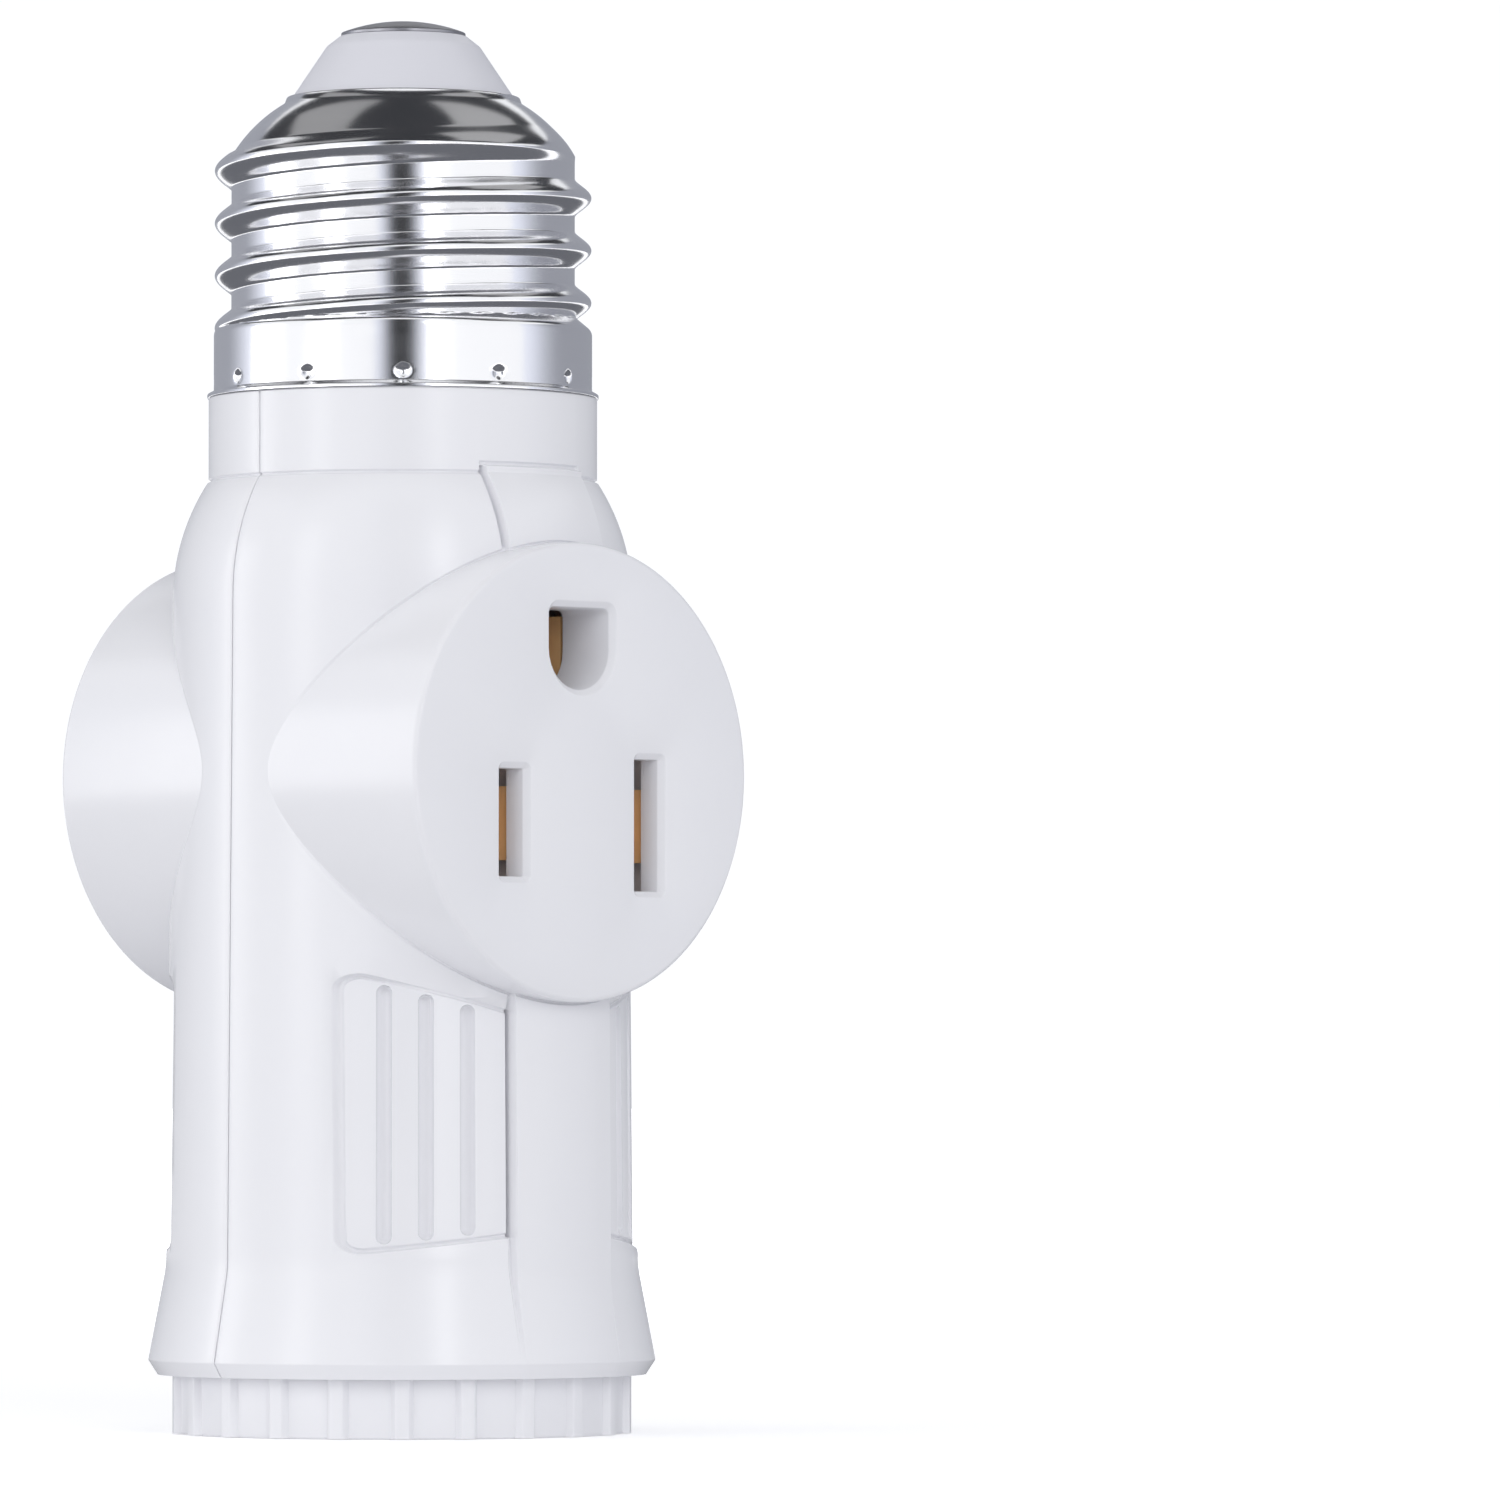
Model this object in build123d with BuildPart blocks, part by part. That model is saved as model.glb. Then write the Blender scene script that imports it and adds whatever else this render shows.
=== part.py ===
from build123d import *
import os
from math import atan2, cos, hypot, radians, sin, tan

os.makedirs("parts", exist_ok=True)

# Lamp socket adapter: a screw base on top, a lamp socket below and two grounded outlets back to
# back between them. Lengths are in millimetres. +Z runs up the lamp axis, the origin is the centre
# of the socket's lower rim, the front outlet faces -Y and the housing halves part on Y = 0.

# Heights up the axis, from the lower rim to the tip contact
ring_height = 4.05
bevel_height = 1.0
flare_height = 4.75
body_height = 47.6
shoulder_height = 8.1
neck_height = 5.7
skirt_height = 4.7
skirt_slope_height = 1.0
thread_height = 11.1
dome_height = 4.1
insulator_height = 4.4
tip_height = 0.85

z_ring_top = ring_height
z_rim = z_ring_top + bevel_height
z_flare_top = z_rim + flare_height
z_body_top = z_flare_top + body_height
z_neck = z_body_top + shoulder_height
z_shell = z_neck + neck_height
z_skirt_top = z_shell + skirt_height
z_core = z_skirt_top + skirt_slope_height
z_dome = z_core + thread_height
z_dome_hole = z_dome + dome_height
z_insulator_top = z_dome_hole + insulator_height
z_tip = z_insulator_top + tip_height

# Housing halves
rim_radius = 17.45
bevel_radius = 16.8
body_base_radius = 16.25
body_top_radius = 15.85
neck_radius = 13.4
body_wall = 1.25
neck_wall = 1.6
seam_gap = 0.08
fit_gap = 0.1
touch_gap = 0.05

# Outlets, measured from the outlet axis and its face
outlet_drop = 12.3
outlet_radius = 15.6
outlet_reach = 17.9
outlet_wall = 1.4
face_wall = 2.0
face_edge = 0.4
blade_spacing = 12.7
blade_drop = 3.5
slot_width = 2.2
hot_slot_height = 7.3
neutral_slot_height = 9.0
ground_rise = 11.9
ground_width = 5.6
ground_height = 5.6
ground_corner = 0.5
lead_in = 0.4
guide_wall = 0.9
guide_depth = 4.6
guide_margin = 1.1
sleeve_wall = 1.0
sleeve_depth = 2.9

# Raised strip and finger grips below and above each outlet
strip_half_width = 4.4
strip_proud = 0.5
strip_rise = 0.45
grip_edge_angle = 59.0
grip_recess = 0.22
grip_corner = 1.5
grip_foot = 3.0
grip_foot_slant = 0.8
grip_clear = 0.5
grip_head_slant = 2.3
groove_angles = (26.8, 37.2, 47.5)
groove_width = 1.15
groove_depth = 0.32
groove_margin = 0.5
groove_corner = 0.35

# Locating pegs between the halves
peg_rise = 7.0
peg_size = 1.5
peg_length = 2.0
peg_boss_size = 3.0
peg_boss_depth = 4.0
peg_boss_sink = 0.2

# Screw shell and its tip
sheet = 0.5
lip_radius = 13.5
lip_height = 0.35
lip_slope = 0.4
skirt_radius = 13.05
core_radius = 11.85
crest_radius = 13.0
thread_pitch = 3.63
thread_width = 2.2
thread_crest_width = 0.6
thread_root_sink = 0.25
thread_start = 3.5
thread_overrun = 0.7
thread_fade_start = 1.8
thread_fade_end = 0.75
dome_bulge = 0.3
dome_hole_radius = 7.75
insulator_base_radius = 7.65
insulator_shoulder_radius = 5.1
insulator_top_radius = 4.4
insulator_shoulder_drop = 0.6
flange_radius = 9.9
flange_height = 2.6
tip_radius = 4.3
tip_land = 0.25
shank_radius = 1.2
shank_tail = 0.9
spigot_bore_radius = 9.0

# Lamp socket
core_clear = 0.1
core_wall = 0.9
socket_depth = 27.0
floor_thickness = 2.0
ring_wall = 1.5
rib_count = 22
rib_width = 1.1
rib_height = 0.45
rib_slope_angle = 60.0
rib_start_angle = 227.0
mouth_step = 0.3
mouth_depth = 3.0
mouth_lead_in = 0.4
collar_proud = 0.5
collar_height = 2.0
collar_drop = 1.0
socket_sheet = 0.4
flange_clear = 0.3

# Lamp contact under the socket floor
tongue_thickness = 0.4
tongue_width = 4.6
tongue_root = 8.4
tongue_bend = 4.6
tongue_tip = 2.6
tongue_drop = 2.8
button_radius = 2.3
button_height = 1.2
button_land = 0.5
button_crown_radius = 1.4
button_head_radius = 1.6
button_head_height = 0.5
rivet_radius = 0.9
rivet_head_radius = 1.5
rivet_head_height = 0.6
hot_rivet_x = 6.4
shell_rivet_clear = 0.65

# Blade and ground contacts, buses, links and straps
clip_gap = 0.2
leaf_height = 5.0
leaf_lip = 1.4
leaf_pinch = 0.5
leaf_open = 1.0
leaf_pinch_depth = 2.6
leaf_open_depth = 6.2
leaf_bend = 1.5
web_start_depth = 8.4
web_end_depth = 11.9
hot_web_drop = 3.6
neutral_web_rise = 4.3
ground_leaf_lip = 2.7
ground_leaf_gap = 2.15
ground_leaf_height = 4.8
ground_lip_depth = 2.0
ground_web_rise = 2.9
bus_width = 4.0
strap_width = 2.4
strap_gap = 1.75
link_clear = 0.45
link_overlap = 1.5

# Places worked out from the sizes above
z_outlet = z_body_top - outlet_drop
z_blade = z_outlet - blade_drop
z_ground = z_blade + ground_rise
y_face = -outlet_reach
y_face_back = y_face + face_wall
blade_x = blade_spacing / 2
cavity_radius = min(body_base_radius, body_top_radius) - body_wall
core_outer_radius = cavity_radius - core_clear
cup_radius = core_outer_radius - core_wall
mouth_radius = cup_radius + mouth_step
ring_radius = mouth_radius + ring_wall
collar_radius = cavity_radius + collar_proud
socket_shell_radius = cup_radius - touch_gap
socket_bore_radius = socket_shell_radius - socket_sheet
socket_flange_radius = hypot(tongue_root, tongue_width / 2) + flange_clear
neutral_rivet_x = rivet_head_radius + shell_rivet_clear - socket_bore_radius
neck_bore_radius = neck_radius - neck_wall
shell_bore_radius = core_radius - sheet
skirt_bore_radius = skirt_radius - sheet
z_flange = z_dome - flange_height + sheet
z_spigot_top = z_flange - touch_gap
z_floor = socket_depth
z_floor_top = z_floor + floor_thickness
z_collar_top = z_floor - collar_drop
z_collar = z_collar_top - collar_height
z_peg = z_outlet + peg_rise
peg_x = cavity_radius + peg_boss_sink - peg_boss_size / 2
arm_reach = neck_bore_radius - sheet / 2 - strap_gap
z_hot_bus = z_blade - hot_web_drop - 2 * sheet
z_neutral_bus = z_blade + neutral_web_rise + sheet
z_ground_bus = z_ground + ground_web_rise + sheet


def body_radius(z):
    """Outer radius of the drafted body at a height, without its flare and shoulder."""
    return body_base_radius + (body_top_radius - body_base_radius) * (z - z_flare_top) / body_height


def grown_body(grow):
    """Body and shoulder as one round solid, with every radius grown by the same amount."""
    z_end = z_neck + strip_rise
    foot = (body_radius(z_rim) + grow, z_rim)
    top = (body_top_radius + grow, z_body_top)
    with BuildPart() as body:
        with BuildSketch(Plane.XZ):
            with BuildLine():
                Polyline((0, z_end), (0, z_rim), foot, top)
                TangentArc(top, (neck_radius + grow, z_neck), tangent=(top[0] - foot[0], top[1] - foot[1]))
                Polyline((neck_radius + grow, z_neck), (neck_radius + grow, z_end), (0, z_end))
            make_face()
        revolve(axis=Axis.Z)
    return body.part


# The strip that runs up each outlet side, proud of the body and cut away by the outlet
strip_skin = grown_body(strip_proud)
with BuildPart() as strip:
    add(strip_skin)
    with BuildSketch(Plane.XZ):
        with Locations((0, z_body_top)):
            Rectangle(2 * strip_half_width, 4 * z_body_top)
    extrude(amount=2 * rim_radius, mode=Mode.INTERSECT)
    with BuildSketch(Plane.XZ):
        with Locations((0, z_outlet)):
            Circle(outlet_radius)
    extrude(amount=2 * rim_radius, mode=Mode.SUBTRACT)

# Finger grips: a sunk panel either side of the strip, with upright grooves in it
grip_edge_x = body_base_radius * sin(radians(grip_edge_angle))
grip_foot_z = z_flare_top + grip_foot
grip_head_z = z_outlet - outlet_radius - grip_clear


def grip_span(x):
    """Lower and upper edge of the grip panel at a distance from the strip's centre line."""
    share = (x - strip_half_width) / (grip_edge_x - strip_half_width)
    return grip_foot_z + grip_foot_slant * (1 - share), grip_head_z + grip_head_slant * share


inner_foot, inner_head = grip_span(strip_half_width)
outer_foot, outer_head = grip_span(grip_edge_x)
grip_floor = grown_body(-grip_recess)
with BuildPart() as grips:
    with BuildSketch(Plane.XZ) as grip_outline:
        with BuildLine():
            Polyline(
                (strip_half_width, inner_foot),
                (grip_edge_x, outer_foot),
                (grip_edge_x, outer_head),
                (strip_half_width, inner_head),
                close=True,
            )
        make_face()
        fillet(grip_outline.vertices().group_by(Axis.X)[-1], grip_corner)
        mirror(about=Plane.YZ)
    extrude(amount=2 * rim_radius)
    add(grip_floor, mode=Mode.SUBTRACT)

# Each groove is a slot with clipped corners, sunk square to the drafted body
draft_angle = atan2(body_base_radius - body_top_radius, body_height)
with BuildPart() as grooves:
    for angle in groove_angles:
        across = Vector(cos(radians(angle)), sin(radians(angle)), 0)
        outward = Vector(across.Y, -across.X, tan(draft_angle))
        low, high = grip_span(body_base_radius * across.Y)
        middle = (low + high) / 2
        floor_radius = body_radius(middle) - grip_recess - groove_depth
        floor_centre = (floor_radius * across.Y, -floor_radius * across.X, middle)
        with BuildSketch(Plane(floor_centre, x_dir=across, z_dir=outward)) as groove_outline:
            Rectangle(groove_width, high - low - 2 * groove_margin)
            chamfer(groove_outline.vertices(), groove_corner)
        extrude(amount=body_wall)
    mirror(about=Plane.YZ)


def slot_outlines(grow):
    """Both blade slots as rectangles on the outlet face, grown on every side."""
    with BuildSketch() as outlines:
        for x, height in ((-blade_x, hot_slot_height), (blade_x, neutral_slot_height)):
            with Locations((x, z_blade)):
                Rectangle(slot_width + 2 * grow, height + 2 * grow)
    return outlines.sketch


def ground_outline(grow):
    """Ground hole with a flat top and a round foot, grown on every side."""
    half = ground_width / 2 + grow
    top = z_ground + ground_height / 2 + grow
    centre = z_ground - ground_height / 2 + ground_width / 2
    with BuildSketch() as outline:
        with BuildLine():
            Polyline((-half, centre), (-half, top), (half, top), (half, centre))
            ThreePointArc((half, centre), (0, centre - half), (-half, centre))
        make_face()
        fillet(outline.vertices().group_by(Axis.Y)[-1], ground_corner + grow / 2)
    return outline.sketch


guide_walls = slot_outlines(guide_margin + guide_wall)
guide_spaces = slot_outlines(guide_margin)
sleeve_outline = ground_outline(sleeve_wall)
outlet_holes = slot_outlines(0) + ground_outline(0)
outlet_mouths = slot_outlines(lead_in) + ground_outline(lead_in)

with BuildPart() as front_housing:
    # Outer skin: bevelled rim, flare, drafted body, rounded shoulder, neck and the spigot in the shell
    with BuildSketch(Plane.XZ):
        with BuildLine():
            Polyline(
                (0, z_ring_top),
                (bevel_radius, z_ring_top),
                (rim_radius, z_rim),
                (body_base_radius, z_flare_top),
                (body_top_radius, z_body_top),
            )
            TangentArc(
                (body_top_radius, z_body_top),
                (neck_radius, z_neck),
                tangent=(body_top_radius - body_base_radius, body_height),
            )
            Polyline(
                (neck_radius, z_neck),
                (neck_radius, z_shell),
                (skirt_bore_radius - touch_gap, z_shell),
                (skirt_bore_radius - touch_gap, z_skirt_top - sheet),
                (shell_bore_radius - fit_gap, z_core - sheet),
                (shell_bore_radius - fit_gap, z_spigot_top),
                (0, z_spigot_top),
                (0, z_ring_top),
            )
        make_face()
    revolve(axis=Axis.Z)
    # Outlet boss, turned about the outlet axis, with a softened face edge
    with BuildSketch(Plane.XY.offset(z_outlet)):
        with BuildLine():
            Polyline(
                (0, 0),
                (outlet_radius, 0),
                (outlet_radius, y_face + face_edge),
                (outlet_radius - face_edge, y_face),
                (0, y_face),
                close=True,
            )
        make_face()
    revolve(axis=Axis((0, 0, z_outlet), (0, 1, 0)))
    add(strip.part)
    add(grips.part, mode=Mode.SUBTRACT)
    add(grooves.part, mode=Mode.SUBTRACT)
    # Cavity for the lamp socket, its collar, the contacts and the straps
    with BuildSketch(Plane.XZ):
        with BuildLine():
            Polyline(
                (0, z_ring_top),
                (cavity_radius, z_ring_top),
                (cavity_radius, z_collar - fit_gap),
                (collar_radius + fit_gap, z_collar - fit_gap),
                (collar_radius + fit_gap, z_collar_top + fit_gap),
                (cavity_radius, z_collar_top + fit_gap),
                (cavity_radius, z_body_top - body_wall),
                (neck_bore_radius, z_neck - body_wall),
                (neck_bore_radius, z_shell - neck_wall),
                (spigot_bore_radius, z_shell),
                (spigot_bore_radius, z_spigot_top),
                (0, z_spigot_top),
                close=True,
            )
        make_face()
    revolve(axis=Axis.Z, mode=Mode.SUBTRACT)
    with BuildSketch(Plane.XZ):
        with Locations((0, z_outlet)):
            Circle(outlet_radius - outlet_wall)
    extrude(amount=outlet_reach - face_wall, mode=Mode.SUBTRACT)
    # Guides behind the slots and a sleeve behind the ground hole
    with BuildSketch(Plane.XZ.offset(outlet_reach - face_wall / 2)):
        add(guide_walls)
    extrude(amount=-guide_depth - face_wall / 2)
    with BuildSketch(Plane.XZ.offset(outlet_reach - face_wall)):
        add(guide_spaces)
    extrude(amount=-guide_depth, mode=Mode.SUBTRACT)
    with BuildSketch(Plane.XZ.offset(outlet_reach - face_wall / 2)):
        add(sleeve_outline)
    extrude(amount=-sleeve_depth - face_wall / 2)
    # Slots and ground hole, each with a bevelled lead-in at the face
    with BuildSketch(Plane.XZ.offset(outlet_reach)):
        add(outlet_holes)
    extrude(amount=-face_wall - sleeve_depth, mode=Mode.SUBTRACT)
    with BuildSketch(Plane.XZ.offset(outlet_reach)):
        add(outlet_mouths)
    extrude(amount=-lead_in, taper=45, mode=Mode.SUBTRACT)
    # Channel across the spigot for the neutral strap
    with BuildSketch(Plane.XY.offset(z_shell - neck_wall)):
        Rectangle(2 * (shell_bore_radius + fit_gap), strap_width + 2 * fit_gap)
    extrude(amount=z_spigot_top - z_shell + neck_wall, mode=Mode.SUBTRACT)
    split(bisect_by=Plane.XZ.offset(seam_gap / 2), keep=Keep.TOP)
    # A locating peg on one side and its socket on the other
    with BuildSketch(Plane.XZ.offset(seam_gap / 2)):
        with Locations((peg_x, z_peg), (-peg_x, z_peg)):
            Rectangle(peg_boss_size, peg_boss_size)
    extrude(amount=peg_boss_depth)
    with BuildSketch(Plane.XZ.offset(seam_gap / 2)):
        with Locations((peg_x, z_peg)):
            Rectangle(peg_size, peg_size)
    extrude(amount=-peg_length)
    with BuildSketch(Plane.XZ.offset(seam_gap / 2)):
        with Locations((-peg_x, z_peg)):
            Rectangle(peg_size + 2 * fit_gap, peg_size + 2 * fit_gap)
    extrude(amount=peg_length + fit_gap, mode=Mode.SUBTRACT)
front_housing.part.label = "front_housing"
export_step(front_housing.part, "parts/front_housing.step")

# The rear half is the same moulding turned half a turn
with BuildPart() as rear_housing:
    add(front_housing.part, rotation=(0, 0, 180))
rear_housing.part.label = "rear_housing"
export_step(rear_housing.part, "parts/rear_housing.step")


# The shell's thread: a right-hand bead whose foot is sunk into the sheet, faded out under a cone
z_thread = z_shell + thread_start
thread_root_radius = core_radius - thread_root_sink
with BuildPart() as shell_thread:
    with BuildLine() as thread_path:
        Helix(
            pitch=thread_pitch,
            height=z_dome + thread_overrun - z_thread,
            radius=thread_root_radius,
            center=(0, 0, z_thread),
        )
    with BuildSketch(Plane.XZ):
        with BuildLine():
            Polyline(
                (thread_root_radius, z_thread + thread_width / 2),
                (thread_root_radius, z_thread - thread_width / 2),
                (crest_radius, z_thread - thread_crest_width / 2),
                (crest_radius, z_thread + thread_crest_width / 2),
                close=True,
            )
        make_face()
    sweep(path=thread_path.line, is_frenet=True)
    with BuildSketch(Plane.XZ):
        with BuildLine():
            Polyline(
                (skirt_bore_radius, z_shell),
                (lip_radius, z_shell),
                (lip_radius, z_dome - thread_fade_start),
                (core_radius - thread_root_sink / 2, z_dome + thread_fade_end),
                (shell_bore_radius, z_dome + thread_fade_end),
                (shell_bore_radius, z_core - sheet / 2),
                (skirt_bore_radius, z_skirt_top - sheet / 2),
                close=True,
            )
        make_face()
    revolve(axis=Axis.Z, mode=Mode.INTERSECT)

# Screw shell: rolled sheet with a turned-out lip, skirt, thread and dome
with BuildPart() as screw_shell:
    with BuildSketch(Plane.XZ):
        with BuildLine():
            Polyline(
                (skirt_bore_radius, z_shell),
                (lip_radius, z_shell),
                (lip_radius, z_shell + lip_height),
                (skirt_radius, z_shell + lip_height + lip_slope),
                (skirt_radius, z_skirt_top),
                (core_radius, z_core),
                (core_radius, z_dome),
            )
            SagittaArc((core_radius, z_dome), (dome_hole_radius, z_dome_hole), -dome_bulge)
            Polyline(
                (dome_hole_radius, z_dome_hole),
                (dome_hole_radius, z_dome_hole - sheet),
                (shell_bore_radius, z_dome),
                (shell_bore_radius, z_core - sheet / 2),
                (skirt_bore_radius, z_skirt_top - sheet / 2),
                (skirt_bore_radius, z_shell),
            )
        make_face()
    revolve(axis=Axis.Z)
    add(shell_thread.part)
screw_shell.part.label = "screw_shell"
export_step(screw_shell.part, "parts/screw_shell.step")

# Insulator: a flange under the dome and a cone through its hole
with BuildPart() as tip_insulator:
    with BuildSketch(Plane.XZ):
        with BuildLine():
            Polyline(
                (shank_radius + touch_gap, z_flange),
                (flange_radius, z_flange),
                (flange_radius, z_dome + touch_gap),
                (insulator_base_radius, z_dome_hole - 2 * sheet),
                (insulator_base_radius, z_dome_hole),
                (insulator_shoulder_radius, z_insulator_top - insulator_shoulder_drop),
                (insulator_top_radius, z_insulator_top),
                (shank_radius + touch_gap, z_insulator_top),
                close=True,
            )
        make_face()
    revolve(axis=Axis.Z)
tip_insulator.part.label = "tip_insulator"
export_step(tip_insulator.part, "parts/tip_insulator.step")

# Tip contact: a domed head on the insulator with a shank down through it
z_shank_end = z_flange - shank_tail
with BuildPart() as tip_contact:
    with BuildSketch(Plane.XZ):
        with BuildLine():
            Polyline(
                (0, z_shank_end),
                (shank_radius, z_shank_end),
                (shank_radius, z_insulator_top),
                (tip_radius, z_insulator_top),
                (tip_radius, z_insulator_top + tip_land),
            )
            TangentArc((0, z_tip), (tip_radius, z_insulator_top + tip_land), tangent=(1, 0))
            Line((0, z_tip), (0, z_shank_end))
        make_face()
    revolve(axis=Axis.Z)
tip_contact.part.label = "tip_contact"
export_step(tip_contact.part, "parts/tip_contact.step")

# Socket core: ribbed outer ring, cup for the lamp shell, collar in the housing and the floor
with BuildPart() as socket_core:
    with BuildSketch(Plane.XY):
        Circle(ring_radius)
        with PolarLocations(ring_radius, rib_count, start_angle=rib_start_angle):
            Trapezoid(rib_width + 2 * rib_height, 2 * rib_height, rib_slope_angle, rotation=-90)
    extrude(amount=ring_height)
    with BuildSketch(Plane.XZ):
        with BuildLine():
            Polyline(
                (0, 0),
                (core_outer_radius, 0),
                (core_outer_radius, z_collar),
                (collar_radius, z_collar),
                (collar_radius, z_collar_top),
                (core_outer_radius, z_collar_top),
                (core_outer_radius, z_floor_top),
                (0, z_floor_top),
                close=True,
            )
        make_face()
    revolve(axis=Axis.Z)
    with BuildSketch(Plane.XZ):
        with BuildLine():
            Polyline(
                (0, 0),
                (mouth_radius + mouth_lead_in, 0),
                (mouth_radius, mouth_lead_in),
                (mouth_radius, mouth_depth),
                (cup_radius, mouth_depth),
                (cup_radius, z_floor),
                (0, z_floor),
                close=True,
            )
        make_face()
    revolve(axis=Axis.Z, mode=Mode.SUBTRACT)
    with BuildSketch(Plane.XY.offset(z_floor)):
        with Locations((hot_rivet_x, 0), (neutral_rivet_x, 0)):
            Circle(rivet_radius + touch_gap)
    extrude(amount=floor_thickness, mode=Mode.SUBTRACT)
socket_core.part.label = "socket_core"
export_step(socket_core.part, "parts/socket_core.step")

# Socket shell: the lamp's sleeve, whose flange is riveted under the floor
with BuildPart() as socket_shell:
    with BuildSketch(Plane.XZ):
        with BuildLine():
            Polyline(
                (socket_bore_radius, mouth_depth + fit_gap),
                (socket_shell_radius, mouth_depth + fit_gap),
                (socket_shell_radius, z_floor),
                (socket_flange_radius, z_floor),
                (socket_flange_radius, z_floor - socket_sheet),
                (socket_bore_radius, z_floor - socket_sheet),
                close=True,
            )
        make_face()
    revolve(axis=Axis.Z)
    with BuildSketch(Plane.XY.offset(z_floor)):
        with Locations((neutral_rivet_x, 0)):
            Circle(rivet_radius + touch_gap)
    extrude(amount=-socket_sheet, mode=Mode.SUBTRACT)
socket_shell.part.label = "socket_shell"
export_step(socket_shell.part, "parts/socket_shell.step")

# Contact tongue: a leaf spring riveted under the floor, sloping down to the lamp axis
z_tongue = z_floor - tongue_thickness / 2
z_button = z_tongue - tongue_drop
with BuildPart() as contact_tongue:
    with BuildSketch(Plane.XZ):
        with BuildLine():
            FilletPolyline(
                (tongue_root, z_tongue),
                (tongue_bend, z_tongue),
                (tongue_tip, z_button),
                (-tongue_tip, z_button),
                radius=2 * tongue_thickness,
            )
        trace(line_width=tongue_thickness)
    extrude(amount=tongue_width / 2, both=True)
    with BuildSketch(Plane.XY.offset(z_floor)):
        with Locations((hot_rivet_x, 0)):
            Circle(rivet_radius + touch_gap)
        Circle(rivet_radius + touch_gap)
    extrude(amount=-tongue_drop - 2 * tongue_thickness, mode=Mode.SUBTRACT)
contact_tongue.part.label = "contact_tongue"
export_step(contact_tongue.part, "parts/contact_tongue.step")

# Contact button: a domed rivet closed over the tongue's free end
z_button_top = z_button + tongue_thickness / 2
z_button_seat = z_button - tongue_thickness / 2
with BuildPart() as contact_button:
    with BuildSketch(Plane.XZ):
        with BuildLine():
            Polyline(
                (0, z_button_seat - button_height),
                (0, z_button_top + button_head_height),
                (button_head_radius, z_button_top + button_head_height),
                (button_head_radius, z_button_top),
                (rivet_radius, z_button_top),
                (rivet_radius, z_button_seat),
                (button_radius, z_button_seat),
                (button_radius, z_button_seat - button_land),
                (button_crown_radius, z_button_seat - button_height),
                close=True,
            )
        make_face()
    revolve(axis=Axis.Z)
contact_button.part.label = "contact_button"
export_step(contact_button.part, "parts/contact_button.step")


def floor_rivet(x, z_low, z_high):
    """Rivet through the socket floor with a flat head at each end of its grip."""
    with BuildPart() as rivet:
        with BuildSketch(Plane((x, 0, 0), x_dir=(1, 0, 0), z_dir=(0, -1, 0))):
            with BuildLine():
                Polyline(
                    (0, z_low - rivet_head_height),
                    (rivet_head_radius, z_low - rivet_head_height),
                    (rivet_head_radius, z_low),
                    (rivet_radius, z_low),
                    (rivet_radius, z_high),
                    (rivet_head_radius, z_high),
                    (rivet_head_radius, z_high + rivet_head_height),
                    (0, z_high + rivet_head_height),
                    close=True,
                )
            make_face()
        revolve(axis=Axis((x, 0, 0), (0, 0, 1)))
    return rivet.part


tongue_rivet = floor_rivet(hot_rivet_x, z_floor - tongue_thickness, z_floor_top + sheet)
tongue_rivet.label = "tongue_rivet"
export_step(tongue_rivet, "parts/tongue_rivet.step")
shell_rivet = floor_rivet(neutral_rivet_x, z_floor - socket_sheet, z_floor_top + sheet)
shell_rivet.label = "shell_rivet"
export_step(shell_rivet, "parts/shell_rivet.step")


def clip(name, x, z, leaf_line, height, web_rise):
    """Two facing leaves behind an outlet, joined past the blade's edge by a web at their roots."""
    leaf_x = leaf_line[-1][0]
    y_web = y_face_back + (web_start_depth + web_end_depth) / 2
    web_length = web_end_depth - web_start_depth
    with BuildPart() as contact:
        with BuildSketch(Plane((x, 0, z))):
            with BuildLine():
                FilletPolyline(*leaf_line, radius=leaf_bend)
            trace(line_width=sheet)
            mirror(about=Plane.YZ)
        extrude(amount=height / 2, both=True)
        with BuildSketch(Plane((x, y_web, z))):
            with Locations((leaf_x, 0), (-leaf_x, 0)):
                Rectangle(sheet, web_length)
        extrude(amount=web_rise)
        with BuildSketch(Plane((x, y_web, z + web_rise))):
            Rectangle(2 * leaf_x + sheet, web_length)
        extrude(amount=sheet if web_rise > 0 else -sheet)
    for side, turn in (("front", 0), ("rear", 180)):
        with BuildPart() as placed:
            add(contact.part, rotation=(0, 0, turn))
        placed.part.label = f"{side}_{name}_clip"
        export_step(placed.part, f"parts/{side}_{name}_clip.step")


y_clip = y_face_back + clip_gap
y_web_end = y_face_back + web_end_depth
blade_leaf = (
    (leaf_lip + sheet / 2, y_clip),
    (leaf_pinch + sheet / 2, y_clip + leaf_pinch_depth),
    (leaf_open + sheet / 2, y_clip + leaf_open_depth),
    (leaf_open + sheet / 2, y_web_end),
)
y_ground_clip = y_face_back + sleeve_depth + clip_gap
ground_leaf = (
    (ground_leaf_lip + sheet / 2, y_ground_clip),
    (ground_leaf_gap + sheet / 2, y_ground_clip + ground_lip_depth),
    (ground_leaf_gap + sheet / 2, y_web_end),
)
clip("hot", -blade_x, z_blade, blade_leaf, leaf_height, -hot_web_drop)
clip("neutral", blade_x, z_blade, blade_leaf, leaf_height, neutral_web_rise)
clip("ground", 0, z_ground, ground_leaf, ground_leaf_height, ground_web_rise)

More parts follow.
